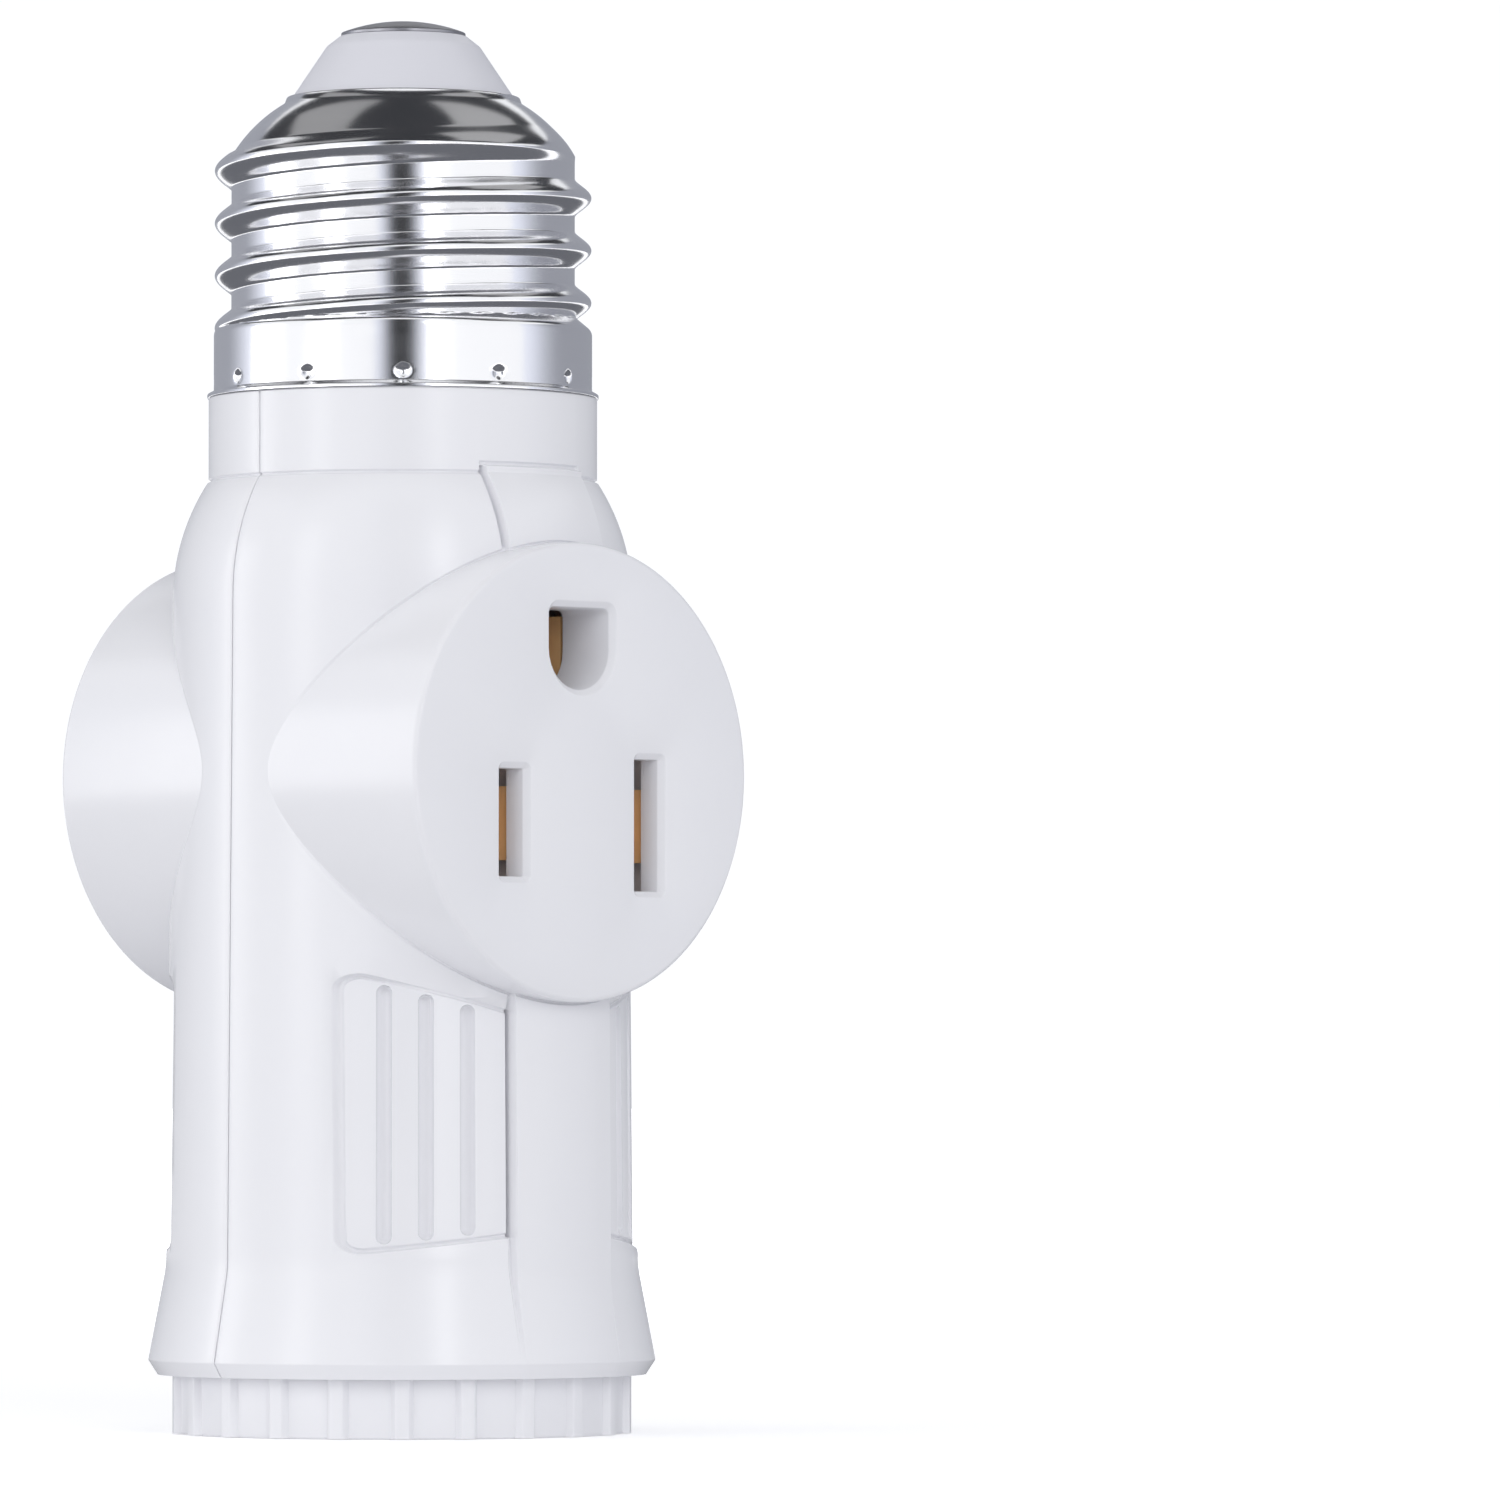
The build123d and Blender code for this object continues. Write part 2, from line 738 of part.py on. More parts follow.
# Buses: flat strips from the front clip to the rear one, the two live ones with an arm to one side
y_pad = y_face_back + (web_start_depth + web_end_depth) / 2
buses = {
    "hot_bus": (z_hot_bus, ((-blade_x, y_pad), (blade_x, -y_pad), (arm_reach, 0))),
    "neutral_bus": (z_neutral_bus, ((blade_x, y_pad), (-blade_x, -y_pad), (-arm_reach, 0))),
    "ground_bus": (z_ground_bus, ((0, y_pad), (0, -y_pad))),
}
for name, (z, stops) in buses.items():
    with BuildPart() as bus:
        with BuildSketch(Plane.XY.offset(z)):
            for start, end in zip(stops, stops[1:]):
                with BuildLine():
                    Line(start, end)
                trace(line_width=bus_width)
            with Locations(*stops):
                Circle(bus_width / 2)
        extrude(amount=sheet)
    bus.part.label = name
    export_step(bus.part, f"parts/{name}.step")

# Links: bent strips from a bus arm down to the rivets on the socket floor
z_foot = z_floor_top + sheet / 2
links = {
    "hot_link": (hot_rivet_x, arm_reach + link_overlap, z_hot_bus),
    "neutral_link": (neutral_rivet_x, -arm_reach - link_overlap, z_neutral_bus),
}
for name, (x_rivet, x_head, z_bus) in links.items():
    x_foot = x_rivet - link_overlap
    x_rise = x_rivet + rivet_head_radius + link_clear
    z_head = z_bus - sheet / 2
    with BuildPart() as link:
        with BuildSketch(Plane.XZ):
            with BuildLine():
                Polyline((x_foot, z_foot), (x_rise, z_foot), (x_rise, z_head), (x_head, z_head))
            trace(line_width=sheet)
        extrude(amount=bus_width / 2, both=True)
        with BuildSketch(Plane.XY.offset(z_floor_top)):
            with Locations((x_rivet, 0)):
                Circle(rivet_radius + touch_gap)
        extrude(amount=sheet, mode=Mode.SUBTRACT)
    link.part.label = name
    export_step(link.part, f"parts/{name}.step")

# Straps: hot from its bus arm to the tip shank, neutral from its bus arm to the inside of the shell
neutral_strap_x = shell_bore_radius - sheet / 2 - touch_gap
straps = {
    "hot_strap": (
        (arm_reach, z_hot_bus + sheet),
        (arm_reach, z_body_top),
        (0, z_core),
        (0, z_shank_end),
    ),
    "neutral_strap": (
        (-arm_reach, z_neutral_bus + sheet),
        (-arm_reach, z_body_top),
        (-neutral_strap_x, z_shell - neck_wall),
        (-neutral_strap_x, z_core + thread_pitch),
    ),
}
for name, stops in straps.items():
    with BuildPart() as strap:
        with BuildSketch(Plane.XZ):
            with BuildLine():
                Polyline(*stops)
            trace(line_width=sheet)
        extrude(amount=strap_width / 2, both=True)
    strap.part.label = name
    export_step(strap.part, f"parts/{name}.step")
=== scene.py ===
# %% [markdown]
# # Dressing a lamp socket adapter
# The adapter screws into a lamp holder, carries a lamp below and has a grounded outlet on two sides.
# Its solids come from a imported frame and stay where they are. This lesson gives them their looks: each
# visible piece is modelled again with rounded edges, or gets a finish of its own.

# %% Load the frame
from math import atan2, cos, pi, radians, sin, sqrt

import bmesh
import bpy
import numpy as np
from mathutils import Matrix, Vector
from mathutils.geometry import delaunay_2d_cdt


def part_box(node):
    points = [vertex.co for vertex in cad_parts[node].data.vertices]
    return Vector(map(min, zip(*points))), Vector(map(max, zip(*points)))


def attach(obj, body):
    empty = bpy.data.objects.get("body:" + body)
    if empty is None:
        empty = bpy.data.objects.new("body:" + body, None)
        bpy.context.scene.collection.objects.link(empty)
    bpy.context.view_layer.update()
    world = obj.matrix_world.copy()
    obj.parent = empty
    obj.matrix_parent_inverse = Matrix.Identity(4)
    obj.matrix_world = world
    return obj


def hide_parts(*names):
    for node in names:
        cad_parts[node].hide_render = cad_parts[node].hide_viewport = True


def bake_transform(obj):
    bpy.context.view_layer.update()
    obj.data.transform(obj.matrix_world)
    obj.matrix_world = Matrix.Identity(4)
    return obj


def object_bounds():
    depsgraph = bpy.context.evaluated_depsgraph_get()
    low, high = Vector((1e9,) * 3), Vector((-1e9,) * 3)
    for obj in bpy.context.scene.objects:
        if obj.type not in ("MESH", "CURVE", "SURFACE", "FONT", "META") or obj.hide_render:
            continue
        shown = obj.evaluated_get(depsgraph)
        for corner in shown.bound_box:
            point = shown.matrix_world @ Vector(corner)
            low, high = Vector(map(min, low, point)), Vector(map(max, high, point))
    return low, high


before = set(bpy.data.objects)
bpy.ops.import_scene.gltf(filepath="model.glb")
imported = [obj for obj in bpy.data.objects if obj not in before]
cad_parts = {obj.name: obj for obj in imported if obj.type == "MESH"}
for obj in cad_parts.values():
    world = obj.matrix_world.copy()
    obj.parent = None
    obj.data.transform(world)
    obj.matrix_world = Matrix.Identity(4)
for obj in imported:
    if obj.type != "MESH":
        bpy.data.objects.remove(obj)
cad_low, cad_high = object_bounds()
MM = 0.001
print("CAD box in mm:", [round(side / MM, 2) for side in cad_high - cad_low])

# %% [markdown]
# ## The view
# A long lens from far away keeps the outlet's circle and the tall body free of stretch, as in a catalogue
# picture. The camera stands level with the lower body, about half of a right angle to the left of the
# outlet. It is turned a little to the right and up, because the adapter sits in the left half of the picture.

# %% Camera
scene = bpy.context.scene
PICTURE_SIDE = 1500
CAMERA_AZIMUTH = radians(-43)
CAMERA_DISTANCE = 0.75
CAMERA_HEIGHT = 0.0229
FOCAL_PIXELS = 10875
AXIS_PIXEL_X = 402.5
HORIZON_PIXEL_Y = 1100
NEAREST = 0.01


def aim_camera():
    """A camera whose picture has the lamp axis and the horizon at the wanted pixels."""
    data = bpy.data.cameras.new("camera")
    data.lens = data.sensor_width * FOCAL_PIXELS / PICTURE_SIDE
    data.clip_start = NEAREST
    camera = bpy.data.objects.new("camera", data)
    scene.collection.objects.link(camera)
    out = Vector((sin(CAMERA_AZIMUTH), -cos(CAMERA_AZIMUTH), 0))
    camera.location = out * CAMERA_DISTANCE + Vector((0, 0, CAMERA_HEIGHT))
    right = out.cross(Vector((0, 0, -1)))
    across = (PICTURE_SIDE / 2 - AXIS_PIXEL_X) / FOCAL_PIXELS
    upward = (HORIZON_PIXEL_Y - PICTURE_SIDE / 2) / FOCAL_PIXELS
    look = -out + right * across + Vector((0, 0, upward))
    camera.rotation_mode = "QUATERNION"
    camera.rotation_quaternion = look.to_track_quat("-Z", "Y")
    scene.camera = camera
    return camera


camera = aim_camera()
print("camera lens", round(camera.data.lens, 1), "mm")

# %% [markdown]
# ## The studio
# The picture has a white ground and soft light. The world is white where the camera, or a mirror, looks
# straight at it, and dimmer where it lights the object. A soft box above the lens lights the outlet's
# face, tall strips from the left draw the highlights down the body, and two weak boxes behind show in the
# metal dome. Bright metal shows its surroundings, so dark cards stand where a photographer would hang
# black flags: by the lens, overhead, low down and at both sides. Only mirrors see them, except for the
# card on the right, which also keeps some light off that side.

# %% Node helpers
def add(tree, kind, inputs=None, **settings):
    """New node with some settings. Each input is a value, a socket to link or a list of such sockets."""
    node = tree.nodes.new(kind)
    for name, value in settings.items():
        setattr(node, name, value)
    for place, value in (inputs or {}).items():
        for one in value if isinstance(value, list) else [value]:
            if isinstance(one, bpy.types.NodeSocket):
                tree.links.new(one, node.inputs[place])
            else:
                node.inputs[place].default_value = one
    return node


def calc(tree, operation, *values):
    """Result of a Math node on numbers or sockets."""
    return add(tree, "ShaderNodeMath", dict(enumerate(values)), operation=operation).outputs[0]


def ranged(tree, value, low, high, start=0.0, end=1.0, shape="LINEAR"):
    """Map a value from one range to another, with limits that are numbers or sockets."""
    limits = {"Value": value, "From Min": start, "From Max": end, "To Min": low, "To Max": high}
    return add(tree, "ShaderNodeMapRange", limits, interpolation_type=shape).outputs["Result"]


def new_material(name):
    """Material that is made of nodes, and its tree."""
    material = bpy.data.materials.new(name)
    material.use_nodes = True
    return material, material.node_tree


# %% World and floor
scene.view_settings.view_transform = "Standard"
AMBIENT, WORLD_WHITE, WORLD_COLOUR = 0.7, 1.04, (0.97, 0.98, 1.0, 1)
FLOOR_PAINT, FLOOR_ROUGHNESS = (0.92, 0.92, 0.93, 1), 0.9
FLOOR_SIDE, FLOOR_DROP = 40.0, 0.02 * MM
# Glow at the object and far off, and the distances at which it starts and ends to change
SEEN_GLOW, FOOT_GLOW = (0.3, 1.0, 0.15, 0.9), (0.15, 0.0, 0.02, 0.045)


def see_white(tree):
    """1 for rays that show the ground directly: seen by the camera, in a mirror or through glass."""
    path = add(tree, "ShaderNodeLightPath").outputs
    seen = calc(tree, "MAXIMUM", path["Is Camera Ray"], path["Is Glossy Ray"])
    return calc(tree, "MAXIMUM", seen, path["Is Transmission Ray"])


def white_world():
    """World that is white to look at and gives a soft, slightly cool light."""
    world = bpy.data.worlds.new("studio")
    world.use_nodes = True
    tree = world.node_tree
    background = tree.nodes["Background"].inputs
    background["Color"].default_value = WORLD_COLOUR
    tree.links.new(ranged(tree, see_white(tree), AMBIENT, WORLD_WHITE), background["Strength"])
    scene.world = world


def flat_board(name, wide, tall, material):
    """Rectangle about the origin, facing up."""
    x, y = wide / 2, tall / 2
    mesh = bpy.data.meshes.new(name)
    mesh.from_pydata([(-x, -y, 0), (x, -y, 0), (x, y, 0), (-x, y, 0)], [], [(0, 1, 2, 3)])
    mesh.materials.append(material)
    board = bpy.data.objects.new(name, mesh)
    scene.collection.objects.link(board)
    return board


def floor_paper():
    """White paper with a faint glow: far off it hides the horizon, round the foot it lights the object."""
    material, tree = new_material("floor_paper")
    paper = tree.nodes["Principled BSDF"].inputs
    paper["Base Color"].default_value = FLOOR_PAINT
    paper["Roughness"].default_value = FLOOR_ROUGHNESS
    paper["Specular IOR Level"].default_value = 0.0
    paper["Emission Color"].default_value = (1, 1, 1, 1)
    place = add(tree, "ShaderNodeTexCoord").outputs["Object"]
    away = add(tree, "ShaderNodeVectorMath", {0: place}, operation="LENGTH").outputs["Value"]
    lit, seen = (ranged(tree, away, *glow, "SMOOTHSTEP") for glow in (FOOT_GLOW, SEEN_GLOW))
    tree.links.new(ranged(tree, see_white(tree), lit, seen), paper["Emission Strength"])
    return material


white_world()
floor = flat_board("floor", FLOOR_SIDE, FLOOR_SIDE, floor_paper())
floor.location.z = cad_low.z - FLOOR_DROP
print("floor at", round(floor.location.z / MM, 3), "mm")

# %% Soft boxes and cards
object_middle = (cad_low + cad_high) / 2
# Turn from the camera's side and lift in degrees, distance and size in metres, watts
LIGHTS = {
    "front_box": (12, 25, 0.9, (0.4, 0.5), 1.25),
    "edge_strip": (21, 6, 0.9, (0.12, 0.8), 0.45),
    "key_strip": (-50, 8, 0.9, (0.18, 0.95), 1.0),
    "left_strip": (-92, 3, 0.85, (0.3, 0.6), 1.05),
    "back_left_box": (-122, 60, 0.9, (0.56, 0.4), 0.2),
    "back_right_box": (118, 60, 0.9, (0.56, 0.4), 0.25),
}
# The last two say how bright a card is and where it fades to white: to one side, to both (0) or nowhere
CARDS = {
    "lens_flag": (-1, 12, 0.6, (0.34, 1.0), 0.01, 0),
    "sky_flag": (180, 76, 1.1, (2.4, 1.7), 0.05, None),
    "left_card": (-148, 4, 0.8, (1.6, 0.9), 0.42, 1),
    "right_card": (130, 4, 0.8, (2.0, 0.9), 0.38, -1),
    "low_card": (0, -90, 0.0486, (0.8, 0.8), 0.17, None),
}
CARD_COLOUR, FADE_START, FADE_END = (0.86, 0.89, 1.0, 1), 0.12, 0.48


def studio_place(turn, lift, away):
    """Place and facing of a lamp or card, turned from the camera's side about the object."""
    side = CAMERA_AZIMUTH + radians(turn)
    rise = radians(lift)
    out = Vector((sin(side) * cos(rise), -cos(side) * cos(rise), sin(rise)))
    return Matrix.Translation(object_middle + out * away) @ out.to_track_quat("Z", "Y").to_matrix().to_4x4()


def card_shade(name, wide, shade, soft):
    """Dark finish that mirrors show at the same tone from everywhere, faded to white on a soft side."""
    material, tree = new_material(name)
    tree.nodes.remove(tree.nodes["Principled BSDF"])
    strength = shade
    if soft is not None:
        place = add(tree, "ShaderNodeTexCoord").outputs["Object"]
        x = add(tree, "ShaderNodeSeparateXYZ", {0: place}).outputs["X"]
        across = calc(tree, "MULTIPLY", x, soft) if soft else calc(tree, "ABSOLUTE", x)
        strength = ranged(tree, across, shade, 1.0, FADE_START * wide, FADE_END * wide, "SMOOTHSTEP")
    glow = add(tree, "ShaderNodeEmission", {"Color": CARD_COLOUR, "Strength": strength})
    tree.links.new(glow.outputs[0], tree.nodes["Material Output"].inputs["Surface"])
    return material


for name, (turn, lift, away, size, watts) in LIGHTS.items():
    lamp = bpy.data.lights.new(name, "AREA")
    lamp.shape = "RECTANGLE"
    lamp.size, lamp.size_y = size
    lamp.energy = watts
    holder = bpy.data.objects.new(name, lamp)
    holder.matrix_world = studio_place(turn, lift, away)
    scene.collection.objects.link(holder)

for name, (turn, lift, away, size, shade, soft) in CARDS.items():
    board = flat_board(name, *size, card_shade(name, size[0], shade, soft))
    board.matrix_world = studio_place(turn, lift, away)
    board.visible_camera = board.visible_shadow = False
    board.visible_diffuse = name == "right_card"
    board.visible_transmission = board.visible_volume_scatter = False
print(len(LIGHTS), "soft boxes and", len(CARDS), "cards")

# %% [markdown]
# ## Finishes
# Moulded plastic is never one flat colour: the mould leaves a fine grain, and the wall is a touch duller
# or cleaner from place to place. Rolled sheet has faint lines that run round it, and bare contact metal
# is blotched by handling. Each effect is a node group, so several finishes can use it with their own
# values. A group reads Object coordinates, which stay put on the piece from any side.

# %% Shared effects
BLOTCH_DETAIL, FINE_DETAIL = 3.0, 2.0


def new_tree(name, kind, inputs, outputs):
    """Empty node group with named sockets, and its input and output nodes."""
    tree = bpy.data.node_groups.new(name, kind)
    for way, sockets in (("INPUT", inputs), ("OUTPUT", outputs)):
        for socket, content in sockets.items():
            tree.interface.new_socket(socket, in_out=way, socket_type="NodeSocket" + content)
    return tree, tree.nodes.new("NodeGroupInput"), tree.nodes.new("NodeGroupOutput")


def surface_effect(name, stretch, coarse, fine):
    """Group with a blotchy tone, a varied roughness and a fine grain height."""
    group, given, made = new_tree(
        name, "ShaderNodeTree",
        {"Vector": "Vector", "Colour": "Color", "Deep Colour": "Color", "Smooth": "Float", "Rough": "Float"},
        {"Colour": "Color", "Roughness": "Float", "Grain": "Float"},
    )
    value, link = given.outputs, group.links.new
    spread = {0: value["Vector"], 1: stretch}
    scaled = add(group, "ShaderNodeVectorMath", spread, operation="MULTIPLY").outputs[0]
    blotch, grain = (
        add(group, "ShaderNodeTexNoise", {"Vector": scaled, "Scale": scale, "Detail": detail}).outputs["Fac"]
        for scale, detail in ((coarse, BLOTCH_DETAIL), (fine, FINE_DETAIL))
    )
    colours = {"Factor": blotch, "A": value["Colour"], "B": value["Deep Colour"]}
    link(add(group, "ShaderNodeMix", colours, data_type="RGBA").outputs["Result"], made.inputs["Colour"])
    link(ranged(group, blotch, value["Smooth"], value["Rough"]), made.inputs["Roughness"])
    link(grain, made.inputs["Grain"])
    return group


mould_grain = surface_effect("mould_grain", (1, 1, 1), 60.0, 4200.0)
rolled_lines = surface_effect("rolled_lines", (40, 40, 900), 1.0, 6.0)
handled_metal = surface_effect("handled_metal", (1, 1, 1), 350.0, 2600.0)
print("effects:", [group.name for group in (mould_grain, rolled_lines, handled_metal)])

# %% Finishes made from the effects
# Effect, colour, deep colour, smoothest and roughest place, share of metal, strength of the grain
FINISHES = {
    "white_moulding": (mould_grain, (0.86, 0.86, 0.89), (0.835, 0.835, 0.87), 0.205, 0.262, 0.0, 0.05),
    "white_socket_moulding": (mould_grain, (0.86, 0.86, 0.89), (0.835, 0.835, 0.87), 0.3, 0.4, 0.0, 0.06),
    "insulator_moulding": (mould_grain, (0.74, 0.74, 0.79), (0.71, 0.71, 0.765), 0.3, 0.38, 0.0, 0.04),
    "bright_plate": (rolled_lines, (0.93, 0.93, 0.94), (0.87, 0.87, 0.89), 0.12, 0.19, 1.0, 0.04),
    "dull_tip_metal": (handled_metal, (0.38, 0.38, 0.41), (0.3, 0.3, 0.33), 0.3, 0.42, 1.0, 0.08),
    "sleeve_metal": (rolled_lines, (0.74, 0.74, 0.75), (0.64, 0.64, 0.66), 0.19, 0.265, 1.0, 0.05),
    "contact_copper": (handled_metal, (0.96, 0.64, 0.33), (0.86, 0.53, 0.25), 0.42, 0.58, 0.6, 0.06),
    "rivet_plate": (handled_metal, (0.66, 0.66, 0.68), (0.55, 0.55, 0.57), 0.29, 0.4, 1.0, 0.06),
}
GRAIN_HEIGHT = 0.02 * MM


def make_finish(name, effect, colour, deep, smooth, rough, metal, grain):
    """Principled material fed by one shared effect."""
    material, tree = new_material(name)
    shader, link = tree.nodes["Principled BSDF"].inputs, tree.links.new
    shader["Metallic"].default_value = metal
    place = add(tree, "ShaderNodeTexCoord").outputs["Object"]
    values = {"Colour": (*colour, 1), "Deep Colour": (*deep, 1), "Smooth": smooth, "Rough": rough}
    look = add(tree, "ShaderNodeGroup", {"Vector": place, **values}, node_tree=effect).outputs
    height = {"Strength": grain, "Distance": GRAIN_HEIGHT, "Height": look["Grain"]}
    link(look["Colour"], shader["Base Color"])
    link(look["Roughness"], shader["Roughness"])
    link(add(tree, "ShaderNodeBump", height).outputs["Normal"], shader["Normal"])
    return material


finish = {name: make_finish(name, *values) for name, values in FINISHES.items()}
print("finishes:", sorted(finish))

# %% [markdown]
# ## Turned pieces
# The screw shell, the lamp's sleeve, the insulator, the tip and the rivets are all round about their axis.
# A lathe could be a Screw modifier, but the two shells also carry a rolled thread. So one Geometry Nodes
# tree does both: it wraps a profile round the axis on a grid, and lifts a helical bead from it. The
# profile is the object's own mesh, and a number on each profile point says where a thread may rise.

# %% Profiles
ROUND_UP = 0.999


def corner_arc(here, before, after, bend, arc_steps):
    """Points that turn a corner on an arc, between the points before and after it."""
    back, ahead = (before - here).normalized(), (after - here).normalized()
    half = back.angle(ahead) / 2
    centre = here + (back + ahead).normalized() * bend / sin(half)
    reach = bend * cos(half) / sin(half)
    start, end = here + back * reach - centre, here + ahead * reach - centre
    return [centre + start.slerp(end, step / arc_steps).normalized() * bend for step in range(arc_steps + 1)]


def rounded(corners, arc_steps=5):
    """Open profile through (radius, height, corner radius) rows, with each corner turned by an arc."""
    spots = [Vector(row[:2]) for row in corners]
    points = [spots[0]]
    for before, here, after, row in zip(spots, spots[1:], spots[2:], corners[1:]):
        points += corner_arc(here, before, after, row[2], arc_steps) if row[2] else [here]
    return points + [spots[-1]]


def spaced(points, gap):
    """The same line with no stretch longer than the gap."""
    out = [points[0]]
    for a, b in zip(points, points[1:]):
        count = max(1, int((b - a).length / gap + ROUND_UP))
        out += [a.lerp(b, step / count) for step in range(1, count + 1)]
    return out


# %% Start and end of a tree
def geometry_tree(name, whole_numbers, numbers):
    """Geometry Nodes tree that takes and gives a geometry, with named inputs and a material."""
    sizes = {**dict.fromkeys(whole_numbers, "Int"), **dict.fromkeys(numbers, "Float")}
    inputs = {"Geometry": "Geometry", **sizes, "Material": "Material"}
    return new_tree(name, "GeometryNodeTree", inputs, {"Geometry": "Geometry"})


def end_tree(tree, geometry, given, made):
    """Close a tree as every tree here ends: real geometry with the given material."""
    real = add(tree, "GeometryNodeRealizeInstances", {0: geometry}).outputs[0]
    paint = {"Geometry": real, "Material": given.outputs["Material"]}
    tree.links.new(add(tree, "GeometryNodeSetMaterial", paint).outputs[0], made.inputs["Geometry"])


# %% The lathe tree
BEAD_ROUNDNESS, DOT_ROUNDNESS = 1.6, 1.3
TREE_WELD = 0.002 * MM
# The lathe's numbers, each with the value that leaves a piece plain
PLAIN = {
    "Bead Height": 0.0, "Bead Width": MM, "Pitch": MM, "Bead Foot": 0.0, "Side": 1.0, "Root Radius": 0.0,
    "Fade Low": 1.0, "Fade High": 2.0, "Dots": 1.0, "Dot Start": 0.0, "Dot Level": 0.0, "Dot Radius": MM,
    "Dot Depth": 0.0, "Crowding": 0.0,
}


def lathe_tree():
    """Wrap the profile round the Z axis, lift a right-hand bead and press in a ring of dots."""
    tree, given, made = geometry_tree("turned_piece", ["Segments"], PLAIN)
    value = given.outputs
    profile = value["Geometry"]

    def maths(operation, *values):
        return calc(tree, operation, *values)

    def wrapped(number, half):
        return maths("WRAP", number, half, maths("MULTIPLY", half, -1.0))

    def mound(square, roundness):
        return maths("POWER", maths("MAXIMUM", maths("SUBTRACT", 1.0, square), 0.0), roundness)

    def sampled(source, kind, index):
        inputs = {"Geometry": profile, "Value": source, "Index": index}
        return add(tree, "GeometryNodeSampleIndex", inputs, data_type=kind).outputs["Value"]

    rows = add(tree, "GeometryNodeAttributeDomainSize", {"Geometry": profile}).outputs["Point Count"]
    sides = {"Vertices X": maths("ADD", value["Segments"], 1.0), "Vertices Y": rows}
    grid = add(tree, "GeometryNodeMeshGrid", sides).outputs["Mesh"]
    index = add(tree, "GeometryNodeInputIndex").outputs[0]
    row = maths("MODULO", index, rows)
    even = maths("DIVIDE", maths("FLOOR", maths("DIVIDE", index, rows)), value["Segments"])
    # Columns stand closer together at the dots, so that a dot has enough points to be round
    round_dots = maths("MULTIPLY", value["Dots"], 2 * pi)
    wave = maths("MULTIPLY", maths("SUBTRACT", even, value["Dot Start"]), round_dots)
    crowd = maths("DIVIDE", value["Crowding"], round_dots)
    turns = maths("SUBTRACT", even, maths("MULTIPLY", maths("SINE", wave), crowd))
    angle = maths("MULTIPLY", turns, 2 * pi)
    position = add(tree, "GeometryNodeInputPosition").outputs[0]
    allowed = add(tree, "GeometryNodeInputNamedAttribute", {"Name": "threaded"}, data_type="FLOAT").outputs[0]
    spot = add(tree, "ShaderNodeSeparateXYZ", {0: sampled(position, "FLOAT_VECTOR", row)}).outputs
    threaded = sampled(allowed, "FLOAT", row)
    radius, height = spot["X"], spot["Z"]
    # Distance along Z to the nearest turn of the bead, and that turn's own height
    climb = maths("MULTIPLY_ADD", turns, value["Pitch"], value["Bead Foot"])
    off = wrapped(maths("SUBTRACT", height, climb), maths("MULTIPLY", value["Pitch"], 0.5))
    share = maths("DIVIDE", maths("MULTIPLY", off, 2.0), value["Bead Width"])
    level = maths("SUBTRACT", height, off)
    fade = ranged(tree, level, 1.0, 0.0, value["Fade Low"], value["Fade High"], "SMOOTHSTEP")
    bead = maths("MULTIPLY", mound(maths("MULTIPLY", share, share), BEAD_ROUNDNESS), fade)
    # The bead stands on the root or on the lower profile, outwards or, with a Side of -1, inwards
    signed = maths("MULTIPLY", radius, value["Side"])
    root = maths("MULTIPLY", value["Root Radius"], value["Side"])
    crest = maths("MULTIPLY_ADD", bead, value["Bead Height"], maths("MINIMUM", signed, root))
    raised = maths("MULTIPLY", maths("MAXIMUM", signed, crest), value["Side"])
    beaded = maths("MULTIPLY_ADD", maths("SUBTRACT", raised, radius), threaded, radius)
    # A dot is a round dimple, measured along the wall
    around = wrapped(maths("SUBTRACT", turns, value["Dot Start"]), maths("DIVIDE", 0.5, value["Dots"]))
    along = maths("MULTIPLY", maths("MULTIPLY", around, 2 * pi), radius)
    rise = maths("SUBTRACT", height, value["Dot Level"])
    away = maths("ADD", maths("MULTIPLY", along, along), maths("MULTIPLY", rise, rise))
    dot = maths("MULTIPLY", value["Dot Radius"], value["Dot Radius"])
    dimple = maths("MULTIPLY", mound(maths("DIVIDE", away, dot), DOT_ROUNDNESS), value["Dot Depth"])
    reach = maths("SUBTRACT", beaded, maths("MULTIPLY", dimple, threaded))
    x, y = (maths("MULTIPLY", reach, maths(way, angle)) for way in ("COSINE", "SINE"))
    place = add(tree, "ShaderNodeCombineXYZ", {"X": x, "Y": y, "Z": height}).outputs[0]
    moved = add(tree, "GeometryNodeSetPosition", {"Geometry": grid, "Position": place}).outputs[0]
    closed = add(tree, "GeometryNodeMergeByDistance", {"Geometry": moved, "Distance": TREE_WELD}).outputs[0]
    end_tree(tree, closed, given, made)
    return tree


turned_piece = lathe_tree()
print("lathe tree with", len(turned_piece.nodes), "nodes")

# %% Running a tree
MESH_WELD = 0.001 * MM
TURNED_SMOOTH = radians(40)


def add_tree(piece, tree, values):
    """Put a tree on an object and set its inputs by their socket identifiers."""
    modifier = piece.modifiers.new(tree.name, "NODES")
    modifier.node_group = tree
    sockets = {s.name: s.identifier for s in tree.interface.items_tree if s.in_out == "INPUT"}
    for name, value in values.items():
        modifier[sockets[name]] = value


